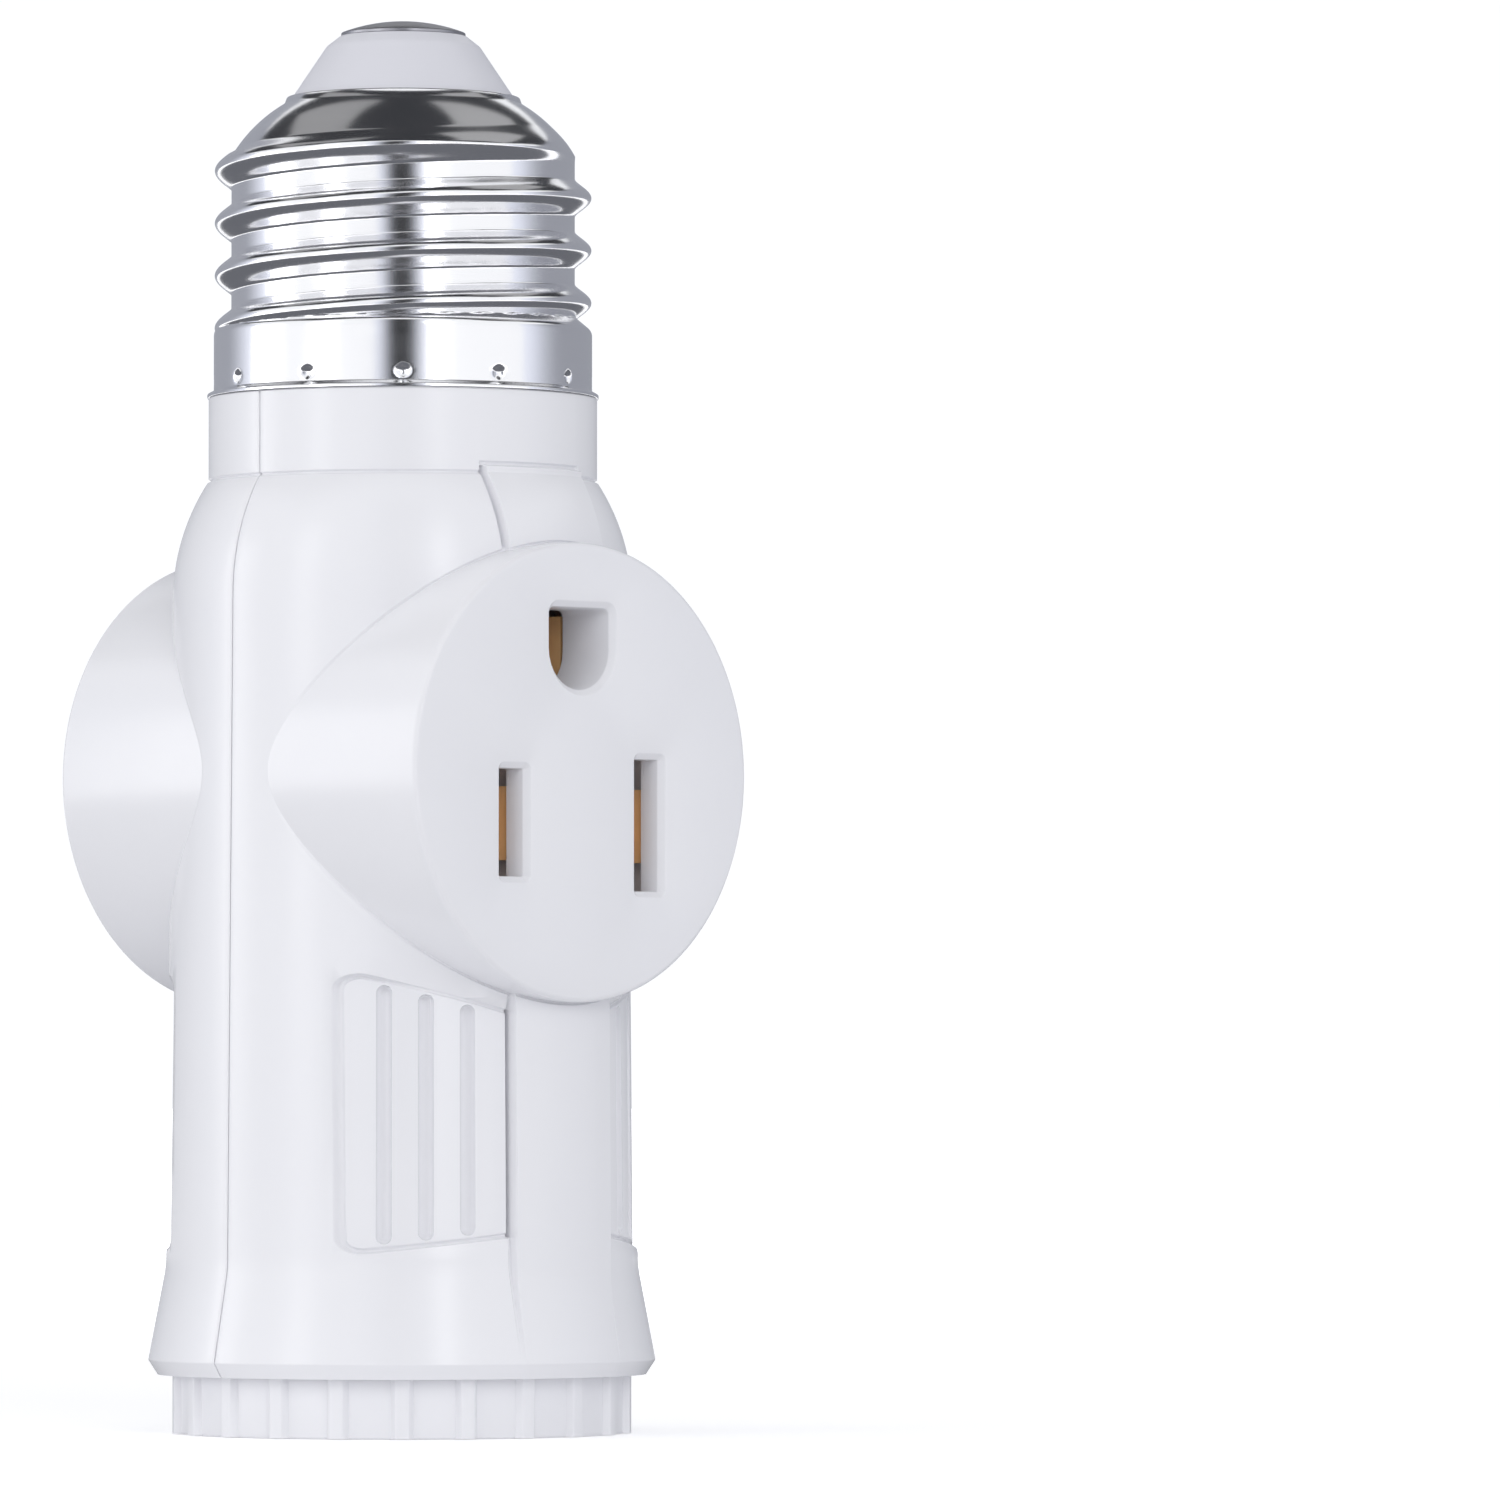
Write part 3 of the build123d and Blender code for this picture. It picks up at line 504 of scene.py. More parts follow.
def settle(piece):
    """Turn an object with live trees into a plain mesh with outward faces and soft shading."""
    depsgraph = bpy.context.evaluated_depsgraph_get()
    mesh = bpy.data.meshes.new_from_object(piece.evaluated_get(depsgraph))
    piece.modifiers.clear()
    piece.data = mesh
    mesh.name = piece.name
    work = bmesh.new()
    work.from_mesh(mesh)
    bmesh.ops.remove_doubles(work, verts=work.verts, dist=MESH_WELD)
    bmesh.ops.recalc_face_normals(work, faces=work.faces)
    for face in work.faces:
        face.smooth = True
    for edge in work.edges:
        edge.smooth = len(edge.link_faces) == 2 and edge.calc_face_angle(0) < TURNED_SMOOTH
    work.to_mesh(mesh)
    work.free()


def turned(name, profile, material, segments, centre_x=0.0, rule=None, threaded=None, trees=()):
    """Round piece from a profile in millimetres, with an optional thread or dots on some rows."""
    mesh = bpy.data.meshes.new(name)
    links = [(i, i + 1) for i in range(len(profile) - 1)]
    mesh.from_pydata([(p.x * MM, 0, p.y * MM) for p in profile], links, [])
    mark = mesh.attributes.new("threaded", "FLOAT", "POINT")
    mark.data.foreach_set("value", threaded or [0.0] * len(profile))
    piece = bpy.data.objects.new(name, mesh)
    scene.collection.objects.link(piece)
    add_tree(piece, turned_piece, {"Segments": segments, **PLAIN, **(rule or {}), "Material": material})
    for tree, inputs in trees:
        add_tree(piece, tree, inputs)
    settle(piece)
    piece.data.transform(Matrix.Translation((centre_x * MM, 0, 0)))
    return piece


def dress(piece, node, body="adapter"):
    """Let a finished piece stand for its CAD node, which is hidden, and ride on a body."""
    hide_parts(node)
    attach(piece, body)
    print(piece.name, len(piece.data.polygons), "faces")


# %% [markdown]
# ## Screw shell
# The shell is one rolled sheet: a turned-out lip on the plastic neck, a plain skirt, a rounded thread and a
# dome with a hole for the insulator. The thread is a narrow round bead with flat valleys between its turns,
# and it runs out on the dome. Staking dots hold the skirt on the neck.

# %% Screw shell
shell_low, shell_high = (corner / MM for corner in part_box("screw_shell"))
Z_LIP, Z_HOLE, LIP_RADIUS = shell_low.z, shell_high.z, shell_high.x
SKIRT_RADIUS, ROOT_RADIUS, HOLE_RADIUS = 13.05, 11.85, 7.75
SHEET, LIP_WIDTH, LIP_RISE, LIP_TOP, SKIRT_RISE = 0.5, 0.4, 0.3, 0.55, 0.62
HOLE_ROUND, HOLE_EDGE = 0.28, 0.1
Z_SKIRT = Z_LIP + 4.7
Z_ROOT = Z_SKIRT + 1.0
Z_DOME = Z_ROOT + 11.1
PITCH = 3.63
BEAD_HEIGHT, BEAD_WIDTH = 1.15, 2.6
BEAD_LEVEL, BEAD_LEVEL_TURN = 77.9, 317
BEAD_FADE_LOW, BEAD_FADE_HIGH = Z_DOME - 0.8, Z_DOME + 1.0
DOT_COUNT, DOT_TURN, DOT_RISE, DOT_RADIUS, DOT_DEPTH, DOT_CROWDING = 12, 227, 1.15, 0.54, 0.24, 0.8
DOME_EDGE, DOME_BULGE = Vector((8.2, Z_HOLE - 0.48)), 0.32
DOME_STEPS, ROLLED_STEPS, ROLLED_GAP = 30, 16, 0.1


def bulged(start, end, bulge, steps):
    """Points after the start on a shallow arch from start to end, bulging to the right of the way."""
    run = end - start
    out = Vector((run.y, -run.x)).normalized()
    shares = [step / steps for step in range(1, steps + 1)]
    return [start + run * t + out * (4 * bulge * t * (1 - t)) for t in shares]


lip_rows = rounded([
    (LIP_RADIUS - LIP_WIDTH, Z_LIP, 0), (LIP_RADIUS, Z_LIP, 0.12), (LIP_RADIUS, Z_LIP + LIP_RISE, 0.12),
    (SKIRT_RADIUS, Z_LIP + LIP_TOP, 0.1), (SKIRT_RADIUS, Z_SKIRT - 1, 0),
])[:-1]
skirt_rows = rounded([
    (SKIRT_RADIUS, Z_LIP + SKIRT_RISE, 0), (SKIRT_RADIUS, Z_SKIRT, 0.7), (ROOT_RADIUS, Z_ROOT, 0.35),
    (ROOT_RADIUS, Z_DOME, 0),
])
dome_rows = bulged(skirt_rows[-1], DOME_EDGE, DOME_BULGE, DOME_STEPS)
edge_rows = rounded([
    (*dome_rows[-1], 0), (HOLE_RADIUS + HOLE_ROUND, Z_HOLE, 0.12), (HOLE_RADIUS, Z_HOLE - HOLE_EDGE, 0),
])[1:]
inner_rows = [Vector(row) for row in (
    (HOLE_RADIUS, Z_HOLE - SHEET), (ROOT_RADIUS - SHEET, Z_DOME), (ROOT_RADIUS - SHEET, Z_ROOT),
    (SKIRT_RADIUS - SHEET, Z_SKIRT), (SKIRT_RADIUS - SHEET, Z_LIP), (LIP_RADIUS - LIP_WIDTH, Z_LIP),
)]
rolled_rows = spaced(skirt_rows + dome_rows[:ROLLED_STEPS], ROLLED_GAP)
rest_rows = dome_rows[ROLLED_STEPS:] + edge_rows + inner_rows
shell_mask = [0.0] * len(lip_rows) + [1.0] * len(rolled_rows) + [0.0] * len(rest_rows)
screw_shell = turned(
    "screw_shell_plated", lip_rows + rolled_rows + rest_rows, finish["bright_plate"], segments=300,
    threaded=shell_mask,
    rule={
        "Bead Height": BEAD_HEIGHT * MM, "Bead Width": BEAD_WIDTH * MM, "Pitch": PITCH * MM,
        "Bead Foot": (BEAD_LEVEL - PITCH * BEAD_LEVEL_TURN / 360) * MM, "Root Radius": ROOT_RADIUS * MM,
        "Fade Low": BEAD_FADE_LOW * MM, "Fade High": BEAD_FADE_HIGH * MM, "Dots": float(DOT_COUNT),
        "Dot Start": DOT_TURN / 360, "Dot Level": (Z_LIP + DOT_RISE) * MM, "Dot Radius": DOT_RADIUS * MM,
        "Dot Depth": DOT_DEPTH * MM, "Crowding": DOT_CROWDING,
    },
)
dress(screw_shell, "screw_shell")

# %% [markdown]
# ## Tip
# A white insulator stands in the dome's hole and carries the centre contact, a shallow grey button. Both are
# plain turned forms, so the lathe tree makes them from profiles with rounded shoulders. Sharp corners would
# look cut out of paper, because a moulded or stamped edge always catches a thin light.

# %% Insulator and tip contact
insulator_low, insulator_high = (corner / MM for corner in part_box("tip_insulator"))
FLANGE_RADIUS, CONE_RADIUS, SHANK_RADIUS = insulator_high.x, 7.65, 1.25
SHOULDER_RADIUS, SEAT_RADIUS, FLANGE_GAP = 5.3, 4.4, 0.05
Z_SEAT = insulator_high.z - 0.2
Z_SHOULDER = Z_SEAT - 0.7
insulator_profile = rounded([
    (SHANK_RADIUS, insulator_low.z, 0), (FLANGE_RADIUS, insulator_low.z, 0.2),
    (FLANGE_RADIUS, Z_DOME + FLANGE_GAP, 0.1), (CONE_RADIUS, Z_HOLE - 2 * SHEET, 0.1),
    (CONE_RADIUS, Z_HOLE, 0.25), (SHOULDER_RADIUS, Z_SHOULDER, 0.9), (SEAT_RADIUS, Z_SEAT, 0.12),
    (SHANK_RADIUS, Z_SEAT, 0), (SHANK_RADIUS, insulator_low.z, 0),
], arc_steps=7)
insulator = turned("tip_insulator_cone", insulator_profile, finish["insulator_moulding"], segments=128)
dress(insulator, "tip_insulator")

tip_low, tip_high = (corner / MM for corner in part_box("tip_contact"))
TIP_RADIUS, TIP_LAND, TIP_SHANK, CROWN_STEPS = tip_high.x, 0.25, 1.2, 14
crown_height = tip_high.z - Z_SEAT - TIP_LAND
crown_bend = (TIP_RADIUS ** 2 + crown_height ** 2) / (2 * crown_height)
crown_radii = [TIP_RADIUS * (1 - step / CROWN_STEPS) for step in range(1, CROWN_STEPS + 1)]
crown = [Vector((r, tip_high.z - crown_bend + sqrt(crown_bend ** 2 - r ** 2))) for r in crown_radii]
tip_profile = rounded([
    (0, tip_low.z, 0), (TIP_SHANK, tip_low.z, 0.2), (TIP_SHANK, Z_SEAT, 0), (TIP_RADIUS, Z_SEAT, 0.06),
    (TIP_RADIUS, Z_SEAT + TIP_LAND, 0.1), (*crown[0], 0),
]) + crown[1:]
dress(turned("tip_contact_cap", tip_profile, finish["dull_tip_metal"], segments=96), "tip_contact")

# %% [markdown]
# ## Housing halves
# The body is two equal mouldings that meet on a seam. Bevelling the CAD faces would tear where a groove runs
# close to an edge, so the wall is drawn afresh as a height field: a radius for every angle and height. Each
# raised or sunk area is a rounded step in that radius. A Delaunay triangulation then keeps the outlines of
# the steps as mesh edges, so they stay crisp. The outlet's boss and its openings are stacks of rings.

# %% Housing sizes
housing_low, housing_high = (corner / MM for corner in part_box("front_housing"))
Z_FOOT, Z_RIM, Z_FLARE_TOP, Z_BODY_TOP, Z_NECK = housing_low.z, 5.05, 9.8, 57.4, 65.5
BEVEL_RADIUS, RIM_RADIUS, BASE_RADIUS, TOP_RADIUS, NECK_RADIUS = 16.8, housing_high.x, 16.25, 15.85, 13.4
FLARE_RISE, FLARE_BEND, RIM_BEND, NECK_BEND = 1.6, 7.0, 0.2, 0.12
BODY_WALL, NECK_WALL = 1.25, 1.6
SPIGOT_RADIUS, SPIGOT_BORE, Z_SPIGOT = 11.25, 9.0, housing_high.z
SHELL_GAP, LIP_GAP = 0.05, 0.01
SEAM_HALF_GAP, SEAM_ROUND = 0.04, 0.06
STRIP_HALF, STRIP_PROUD, STRIP_RISE = 4.4, 0.5, 0.45
GRIP_EDGE_X, GRIP_RECESS, GRIP_CORNER = BASE_RADIUS * sin(radians(59)), 0.36, 1.0
GRIP_FOOT, GRIP_FOOT_SLANT, GRIP_HEAD_SLANT, GRIP_HEAD_GAP = 2.6, 1.2, 2.7, 0.5
GROOVE_TURNS, GROOVE_WIDTH, GROOVE_DEPTH, GROOVE_MARGIN = (26.8, 37.2, 47.5), 1.1, 0.65, 0.5
BOSS_RADIUS, BOSS_WALL, FACE_WALL, FACE_EDGE = 15.6, 1.4, 2.0, 0.35
Z_OUTLET, Y_FACE = Z_BODY_TOP - 12.3, housing_low.y
STEP_EASE = STRIP_END_EASE = 0.08
SLIT_WIDTH, SLIT_DEPTH, SHOULDER_SLIT = 0.22, 0.6, 0.4
CREASE_WIDTH, CREASE_DEPTH = 0.22, 0.16
CHART_RADIUS = 16.0
SEAM_TURN = pi / 2 - SEAM_HALF_GAP / CHART_RADIUS
SEAM_X = CHART_RADIUS * SEAM_TURN
Z_STRIP_END = Z_NECK + STRIP_RISE
print("outlet centre at", round(Z_OUTLET, 2), "mm, face at", round(Y_FACE, 2), "mm")


# %% Profiles of the wall
def shoulder(grow, steps=14):
    """Arc from the drafted body in to the neck, tangent to the body."""
    start, end = Vector((TOP_RADIUS + grow, Z_BODY_TOP)), Vector((NECK_RADIUS + grow, Z_NECK))
    along = Vector((TOP_RADIUS - BASE_RADIUS, Z_BODY_TOP - Z_FLARE_TOP)).normalized()
    inward = Vector((-along.y, along.x))
    bend = (end - start).length_squared / (2 * (end - start).dot(inward))
    centre = start + inward * bend
    spokes = [(start - centre).slerp(end - centre, k / steps) for k in range(steps + 1)]
    return [centre + spoke.normalized() * bend for spoke in spokes]


foot_rows = rounded([
    (BEVEL_RADIUS, Z_FOOT, 0), (RIM_RADIUS, Z_RIM, RIM_BEND),
    (BASE_RADIUS, Z_FLARE_TOP + FLARE_RISE, FLARE_BEND), (TOP_RADIUS, Z_BODY_TOP, 0),
])[:-1]
seat_radius = SKIRT_RADIUS - SHEET - SHELL_GAP
neck_rows = rounded([
    (*shoulder(0)[-2], 0), (NECK_RADIUS, Z_NECK, NECK_BEND), (NECK_RADIUS, Z_LIP - LIP_GAP, 0),
    (seat_radius, Z_LIP, 0), (seat_radius, Z_SKIRT - SHEET, 0), (SPIGOT_RADIUS, Z_ROOT - SHEET, 0),
    (SPIGOT_RADIUS, Z_SPIGOT, 0),
])[1:]
outer_line = foot_rows + shoulder(0)[:-1] + neck_rows
draft = (BASE_RADIUS - TOP_RADIUS) / (Z_BODY_TOP - Z_FLARE_TOP)
strip_foot = BASE_RADIUS + draft * (Z_FLARE_TOP - Z_FOOT) + STRIP_PROUD
strip_line = [Vector((strip_foot, Z_FOOT))] + shoulder(STRIP_PROUD)
cavity_radius = TOP_RADIUS - BODY_WALL
bore_radius = NECK_RADIUS - NECK_WALL
inner_line = [Vector(row) for row in (
    (cavity_radius, Z_FOOT), (cavity_radius, Z_BODY_TOP - BODY_WALL), (bore_radius, Z_NECK - BODY_WALL),
    (bore_radius, Z_LIP - NECK_WALL), (SPIGOT_BORE, Z_LIP), (SPIGOT_BORE, Z_SPIGOT),
)]
print("wall profile with", len(outer_line), "points outside and", len(inner_line), "inside")


# %% Outlines of the sunk areas
LEAST_BEND = 0.02


def grown(corners, grow):
    """Convex polygon, listed anticlockwise, with every side moved outwards."""
    sides = []
    for start, end in zip(corners, corners[1:] + corners[:1]):
        run = (end - start).normalized()
        sides.append((start + Vector((run.y, -run.x)) * grow, run))
    points = []
    for (p, run), (q, turn) in zip(sides[-1:] + sides[:-1], sides):
        points.append(p + run * (q - p).cross(turn) / run.cross(turn))
    return points


def outline(corners, bends, grow=0.0, arc_steps=6):
    """Closed line round a polygon with rounded corners, grown on every side."""
    big = grown([Vector(corner) for corner in corners], grow)
    points = []
    for i, here in enumerate(big):
        bend = max(bends[i] + grow, LEAST_BEND)
        points += corner_arc(here, big[i - 1], big[(i + 1) % len(big)], bend, arc_steps)
    return points


def box_corners(x, z, width, height):
    """Corners of an upright rectangle about a centre, anticlockwise."""
    return [(x + i * width / 2, z + k * height / 2) for i, k in ((-1, -1), (1, -1), (1, 1), (-1, 1))]


def grip_span(x):
    """Lower and upper edge of a grip panel at a distance from the strip's centre line."""
    share = (x - STRIP_HALF) / (GRIP_EDGE_X - STRIP_HALF)
    foot = Z_FLARE_TOP + GRIP_FOOT + GRIP_FOOT_SLANT * (1 - share)
    return foot, Z_OUTLET - BOSS_RADIUS - GRIP_HEAD_GAP + GRIP_HEAD_SLANT * share


UNDER_STRIP, HIDDEN_BEND = 2.0, 0.1
low_in, high_in = grip_span(UNDER_STRIP)
low_out, high_out = grip_span(GRIP_EDGE_X)
GRIP = (
    [(UNDER_STRIP, low_in), (GRIP_EDGE_X, low_out), (GRIP_EDGE_X, high_out), (UNDER_STRIP, high_in)],
    [HIDDEN_BEND, GRIP_CORNER, GRIP_CORNER, HIDDEN_BEND],
)
GROOVES = []
for turn in GROOVE_TURNS:
    low, high = grip_span(BASE_RADIUS * sin(radians(turn)))
    corners = box_corners(0, (low + high) / 2, GROOVE_WIDTH, high - low - 2 * GROOVE_MARGIN)
    GROOVES.append((radians(turn), corners, [GROOVE_WIDTH / 2 - LEAST_BEND] * 4))
print("grip panel with", len(GROOVES), "grooves")


# %% Rounded steps and troughs
TINY = 1e-9


def read(line, heights):
    """Radii at some heights along a profile whose points only rise."""
    return np.interp(heights, [p.y for p in line], [p.x for p in line])


def eased(distance, ease):
    """0 to 1 over a rounded step that is twice the ease wide."""
    share = np.clip((distance / ease + 1) / 2, 0, 1)
    return share * share * (3 - 2 * share)


def trough(distance, width):
    """1 along a line and 0 beside it, over a rounded trough of some width."""
    return eased(width / 2 - np.abs(distance), width / 4)


def depth_inside(x, z, loop):
    """Distance of points to a closed line, positive inside it."""
    start = np.array([p[:] for p in loop])
    run = np.roll(start, -1, axis=0) - start
    dx, dz = x[:, None] - start[:, 0], z[:, None] - start[:, 1]
    share = np.clip((dx * run[:, 0] + dz * run[:, 1]) / (run ** 2).sum(axis=1), 0, 1)
    gap = np.hypot(dx - share * run[:, 0], dz - share * run[:, 1]).min(axis=1)
    rises = np.where(run[:, 1] == 0, TINY, run[:, 1])
    spans = (dz < 0) != (dz < rises)
    left = (spans & (dx < dz * run[:, 0] / rises)).sum(axis=1)
    return np.where(left % 2 == 1, gap, -gap)


# %% The wall's radius
OUTLET_EASE = 1


def from_strip(base, turn):
    """Distance of points from the strip's centre line."""
    return np.abs((base + STRIP_PROUD / 2) * np.sin(turn))


def stepped_radius(turn, z):
    """Outer radius with the grip panels, their grooves, the raised strip and the slit at its foot."""
    base = read(outer_line, z)
    inside = depth_inside(np.abs(base * np.sin(turn)), z, outline(*GRIP)) - STEP_EASE
    panel = eased(inside + STEP_EASE, STEP_EASE)
    radius = base - GRIP_RECESS * panel - CREASE_DEPTH * trough(inside - CREASE_WIDTH / 2, CREASE_WIDTH)
    for middle, corners, bends in GROOVES:
        across = (np.abs(turn) - middle) * CHART_RADIUS
        share = np.clip(depth_inside(across, z, outline(corners, bends)) / (GROOVE_WIDTH / 2), 0, 1)
        radius -= GROOVE_DEPTH * np.sqrt(share * (2 - share))
    x = from_strip(base, turn)
    radius -= SLIT_DEPTH * panel * trough(x - STRIP_HALF - STEP_EASE - SLIT_WIDTH / 2, SLIT_WIDTH)
    proud = eased(STRIP_HALF - x, STEP_EASE) * eased(Z_STRIP_END - z, STRIP_END_EASE)
    return radius + (np.maximum(base, read(strip_line, z)) - radius) * proud


HOLE_STEPS, HOLE_ROUNDS = 240, 30


def hole_chart(radius_at, hole_radius):
    """The boss's round outline on the unrolled wall."""
    turn = np.arange(HOLE_STEPS) * 2 * pi / HOLE_STEPS
    x, z = hole_radius * np.cos(turn), Z_OUTLET + hole_radius * np.sin(turn)
    angle = np.zeros(HOLE_STEPS)
    for _ in range(HOLE_ROUNDS):
        angle = np.arcsin(np.clip(x / radius_at(angle, z), -1, 1))
    return [Vector((CHART_RADIUS * a, b)) for a, b in zip(angle, z)]


BOSS_LINE = hole_chart(stepped_radius, BOSS_RADIUS)


def moulded_radius(turn, z):
    """Outer radius with all steps, creases round the boss, neck and strip, and a rounded seam edge."""
    radius = stepped_radius(turn, z)
    from_boss = -depth_inside(turn * CHART_RADIUS, z, BOSS_LINE)
    crease = 1 - eased(from_boss - 0.75 * CREASE_WIDTH, CREASE_WIDTH / 4)
    radius -= CREASE_DEPTH * crease * np.cos(turn) ** 2
    base = read(outer_line, z)
    beside, below = from_strip(base, turn) - STRIP_HALF - STEP_EASE, Z_STRIP_END - z
    radius -= CREASE_DEPTH * trough(z - Z_NECK, CREASE_WIDTH) * eased(beside, STEP_EASE)
    over_end = trough(below + STRIP_END_EASE + CREASE_WIDTH / 2, CREASE_WIDTH)
    radius -= CREASE_DEPTH * over_end * eased(SLIT_WIDTH - beside, STEP_EASE)
    upper = SHOULDER_SLIT * eased(z - Z_OUTLET, OUTLET_EASE) * eased(below, STRIP_END_EASE)
    proud = read(strip_line, z) - base
    lower = CREASE_DEPTH * eased(Z_OUTLET - z, OUTLET_EASE) * eased(proud - STEP_EASE, STEP_EASE)
    clear = eased(from_boss - CREASE_WIDTH, CREASE_WIDTH / 2)
    radius -= (upper + lower) * clear * trough(beside - SLIT_WIDTH / 2, SLIT_WIDTH)
    edge = (SEAM_TURN - np.abs(turn)) * CHART_RADIUS
    return radius - SEAM_ROUND * (1 - eased(edge - SEAM_ROUND, SEAM_ROUND))


def plain_radius(turn, z):
    """Inner radius, the same all round."""
    return read(inner_line, z)


print("boss outline with", len(BOSS_LINE), "points")

# %% Lines that the mesh keeps
# Shares of a step's ease, a trough's width, a groove's half width and a crease's width at which lines run
STEP_PLACES = (-1, -0.6, -0.3, 0, 0.3, 0.6, 1)
END_PLACES = (-1, -0.5, 0, 0.5, 1)
TROUGH_PLACES = (0.25, 0.5, 0.75, 1, 1.25, 1.5)
NECK_PLACES = (-1, -0.75, -0.5, -0.25, 0.25, 0.5, 0.75)
GROOVE_PLACES = (-0.1, 0, 0.08, 0.22, 0.45, 0.75)
BOSS_PLACES = (0.5, 0.75, 1, 1.3)
SEAM_GAPS = (0.13, 0.09, 0.06, 0.03)
STRIP_LINES = [-2.8, -1.4, 0, 1.4, 2.8]
LEVEL_GAP = 2.5
BODY_LEVELS = list(np.arange(Z_FLARE_TOP + LEVEL_GAP, Z_BODY_TOP - 1, LEVEL_GAP))
LEVELS = sorted(
    [p.y for p in outer_line] + BODY_LEVELS + [Z_STRIP_END + STRIP_END_EASE * k for k in END_PLACES]
    + [Z_NECK + CREASE_WIDTH * k for k in NECK_PLACES]
    + [Z_STRIP_END + STRIP_END_EASE + CREASE_WIDTH * k for k in TROUGH_PLACES]
)


def chart(x, z, line, lift=0.0):
    """Point of the unrolled wall for an offset from the strip's centre line and a height."""
    return Vector((CHART_RADIUS * np.arcsin(x / (float(read(line, z)) + lift)), z))


def open_lines(levels, line, across, turns):
    """Lines up the wall, at a set offset from the centre line or a set angle, and lines round it."""
    lines = [[chart(x, z, line, STRIP_PROUD / 2) for z in levels] for x in across]
    for u in (CHART_RADIUS * turn for turn in turns):
        lines.append([Vector((u, levels[0])), Vector((u, levels[-1]))])
    return lines + [[Vector((-SEAM_X, z)), Vector((SEAM_X, z))] for z in levels]


def offset_line(line, gap):
    """Closed smooth anticlockwise line moved outwards."""
    moved = []
    for i, here in enumerate(line):
        run = (line[(i + 1) % len(line)] - line[i - 1]).normalized()
        moved.append(here + Vector((run.y, -run.x)) * gap)
    return moved


def moulded_lines():
    """Open and closed lines along every step of the outer wall."""
    steps = [STEP_EASE * k for k in STEP_PLACES]
    edges = [STRIP_HALF + step for step in steps + [STEP_EASE + SLIT_WIDTH * k for k in TROUGH_PLACES]]
    across = [side * x for side in (-1, 1) for x in edges] + STRIP_LINES
    turns = [radians(turn) for turn in range(21, 90, 3)]
    turns += [SEAM_TURN - gap / CHART_RADIUS for gap in SEAM_GAPS]
    opened = open_lines(LEVELS, outer_line, across, turns + [-turn for turn in turns])
    closed = []
    for side in (-1, 1):
        for inside in steps + [STEP_EASE + CREASE_WIDTH * k for k in TROUGH_PLACES]:
            closed.append([chart(side * p.x, p.y, outer_line) for p in outline(*GRIP, -inside)])
        for middle, corners, bends in GROOVES:
            for k in GROOVE_PLACES:
                loop = outline(corners, bends, -k * GROOVE_WIDTH / 2)
                closed.append([Vector((side * (p.x + middle * CHART_RADIUS), p.y)) for p in loop])
    return opened, closed + [offset_line(BOSS_LINE, k * CREASE_WIDTH) for k in BOSS_PLACES]


def plain_lines():
    """Lines of the inner wall, all of them open."""
    levels = sorted([p.y for p in inner_line] + BODY_LEVELS[::3])
    return open_lines(levels, inner_line, (), [radians(turn) for turn in range(-84, 85, 6)]), []


print("lines at", len(LEVELS), "levels")

# %% From flat chart to curved wall
CHART_WELD, NEAR = 0.002, 0.01


def outlet_angle(vertex):
    """Angle of a vertex about the outlet's axis."""
    return atan2(vertex.co.z - Z_OUTLET, vertex.co.x)


def border_loop(rim):
    """Vertices of a closed border in the order of its edges, anticlockwise about the outlet."""
    loop = [min(rim, key=outlet_angle)]
    rest = rim - {loop[0]}
    while rest:
        beside = [edge.other_vert(loop[-1]) for edge in loop[-1].link_edges if len(edge.link_faces) == 1]
        loop.append(min((v for v in beside if v in rest), key=outlet_angle))
        rest.remove(loop[-1])
    return loop


def wall(work, radius_at, lines, hole_radius):
    """Triangulate the unrolled wall, roll it up, and return its border vertices by side."""
    opened, closed = lines
    ends = [end for line in opened for end in (line[0], line[-1])]
    border = sorted((p for p in ends if p.y == Z_FOOT), key=lambda p: p.x)
    border += sorted((p for p in ends if p.y == Z_SPIGOT), key=lambda p: -p.x)
    rings = [border, hole_chart(radius_at, hole_radius)]
    points, edges, loops = [], [], []
    kinds = [(line, True) for line in rings] + [(line, False) for line in opened]
    for line, ring in kinds + [(line, True) for line in closed]:
        places = list(range(len(points), len(points) + len(line)))
        points += line
        edges += list(zip(places, places[1:] + places[:1] if ring else places[1:]))
        loops.append(places)
    spots, _, faces, _, _, origins = delaunay_2d_cdt(points, edges, loops[:2], 0, CHART_WELD)
    kept = [face for face, origin in zip(faces, origins) if 0 in origin and 1 not in origin]
    u, z = np.array([p.x for p in spots]), np.array([p.y for p in spots])
    turn = u / CHART_RADIUS
    radius = radius_at(turn, z)
    used = sorted({i for face in kept for i in face})
    made = {i: work.verts.new((radius[i] * sin(turn[i]), -radius[i] * cos(turn[i]), z[i])) for i in used}
    for face in kept:
        work.faces.new([made[i] for i in face])
    sides = {
        "left": sorted((i for i in used if u[i] < NEAR - SEAM_X), key=lambda i: z[i]),
        "right": sorted((i for i in used if u[i] > SEAM_X - NEAR), key=lambda i: z[i]),
        "foot": sorted((i for i in used if z[i] < Z_FOOT + NEAR / 2), key=lambda i: u[i]),
        "top": sorted((i for i in used if z[i] > Z_SPIGOT - NEAR / 2), key=lambda i: u[i]),
    }
    borders = {side: [made[i] for i in places] for side, places in sides.items()}
    rim = {v for e in work.edges if len(e.link_faces) == 1 for v in e.verts} & set(made.values())
    borders["hole"] = border_loop(rim - {v for places in borders.values() for v in places})
    return borders


# %% Rings and flat fills
FILL_WELD = 1e-6


def loft(work, first, second):
    """Band of faces between two rings with the same number of vertices."""
    for i in range(len(first)):
        j = (i + 1) % len(first)
        work.faces.new((first[i], first[j], second[j], second[i]))


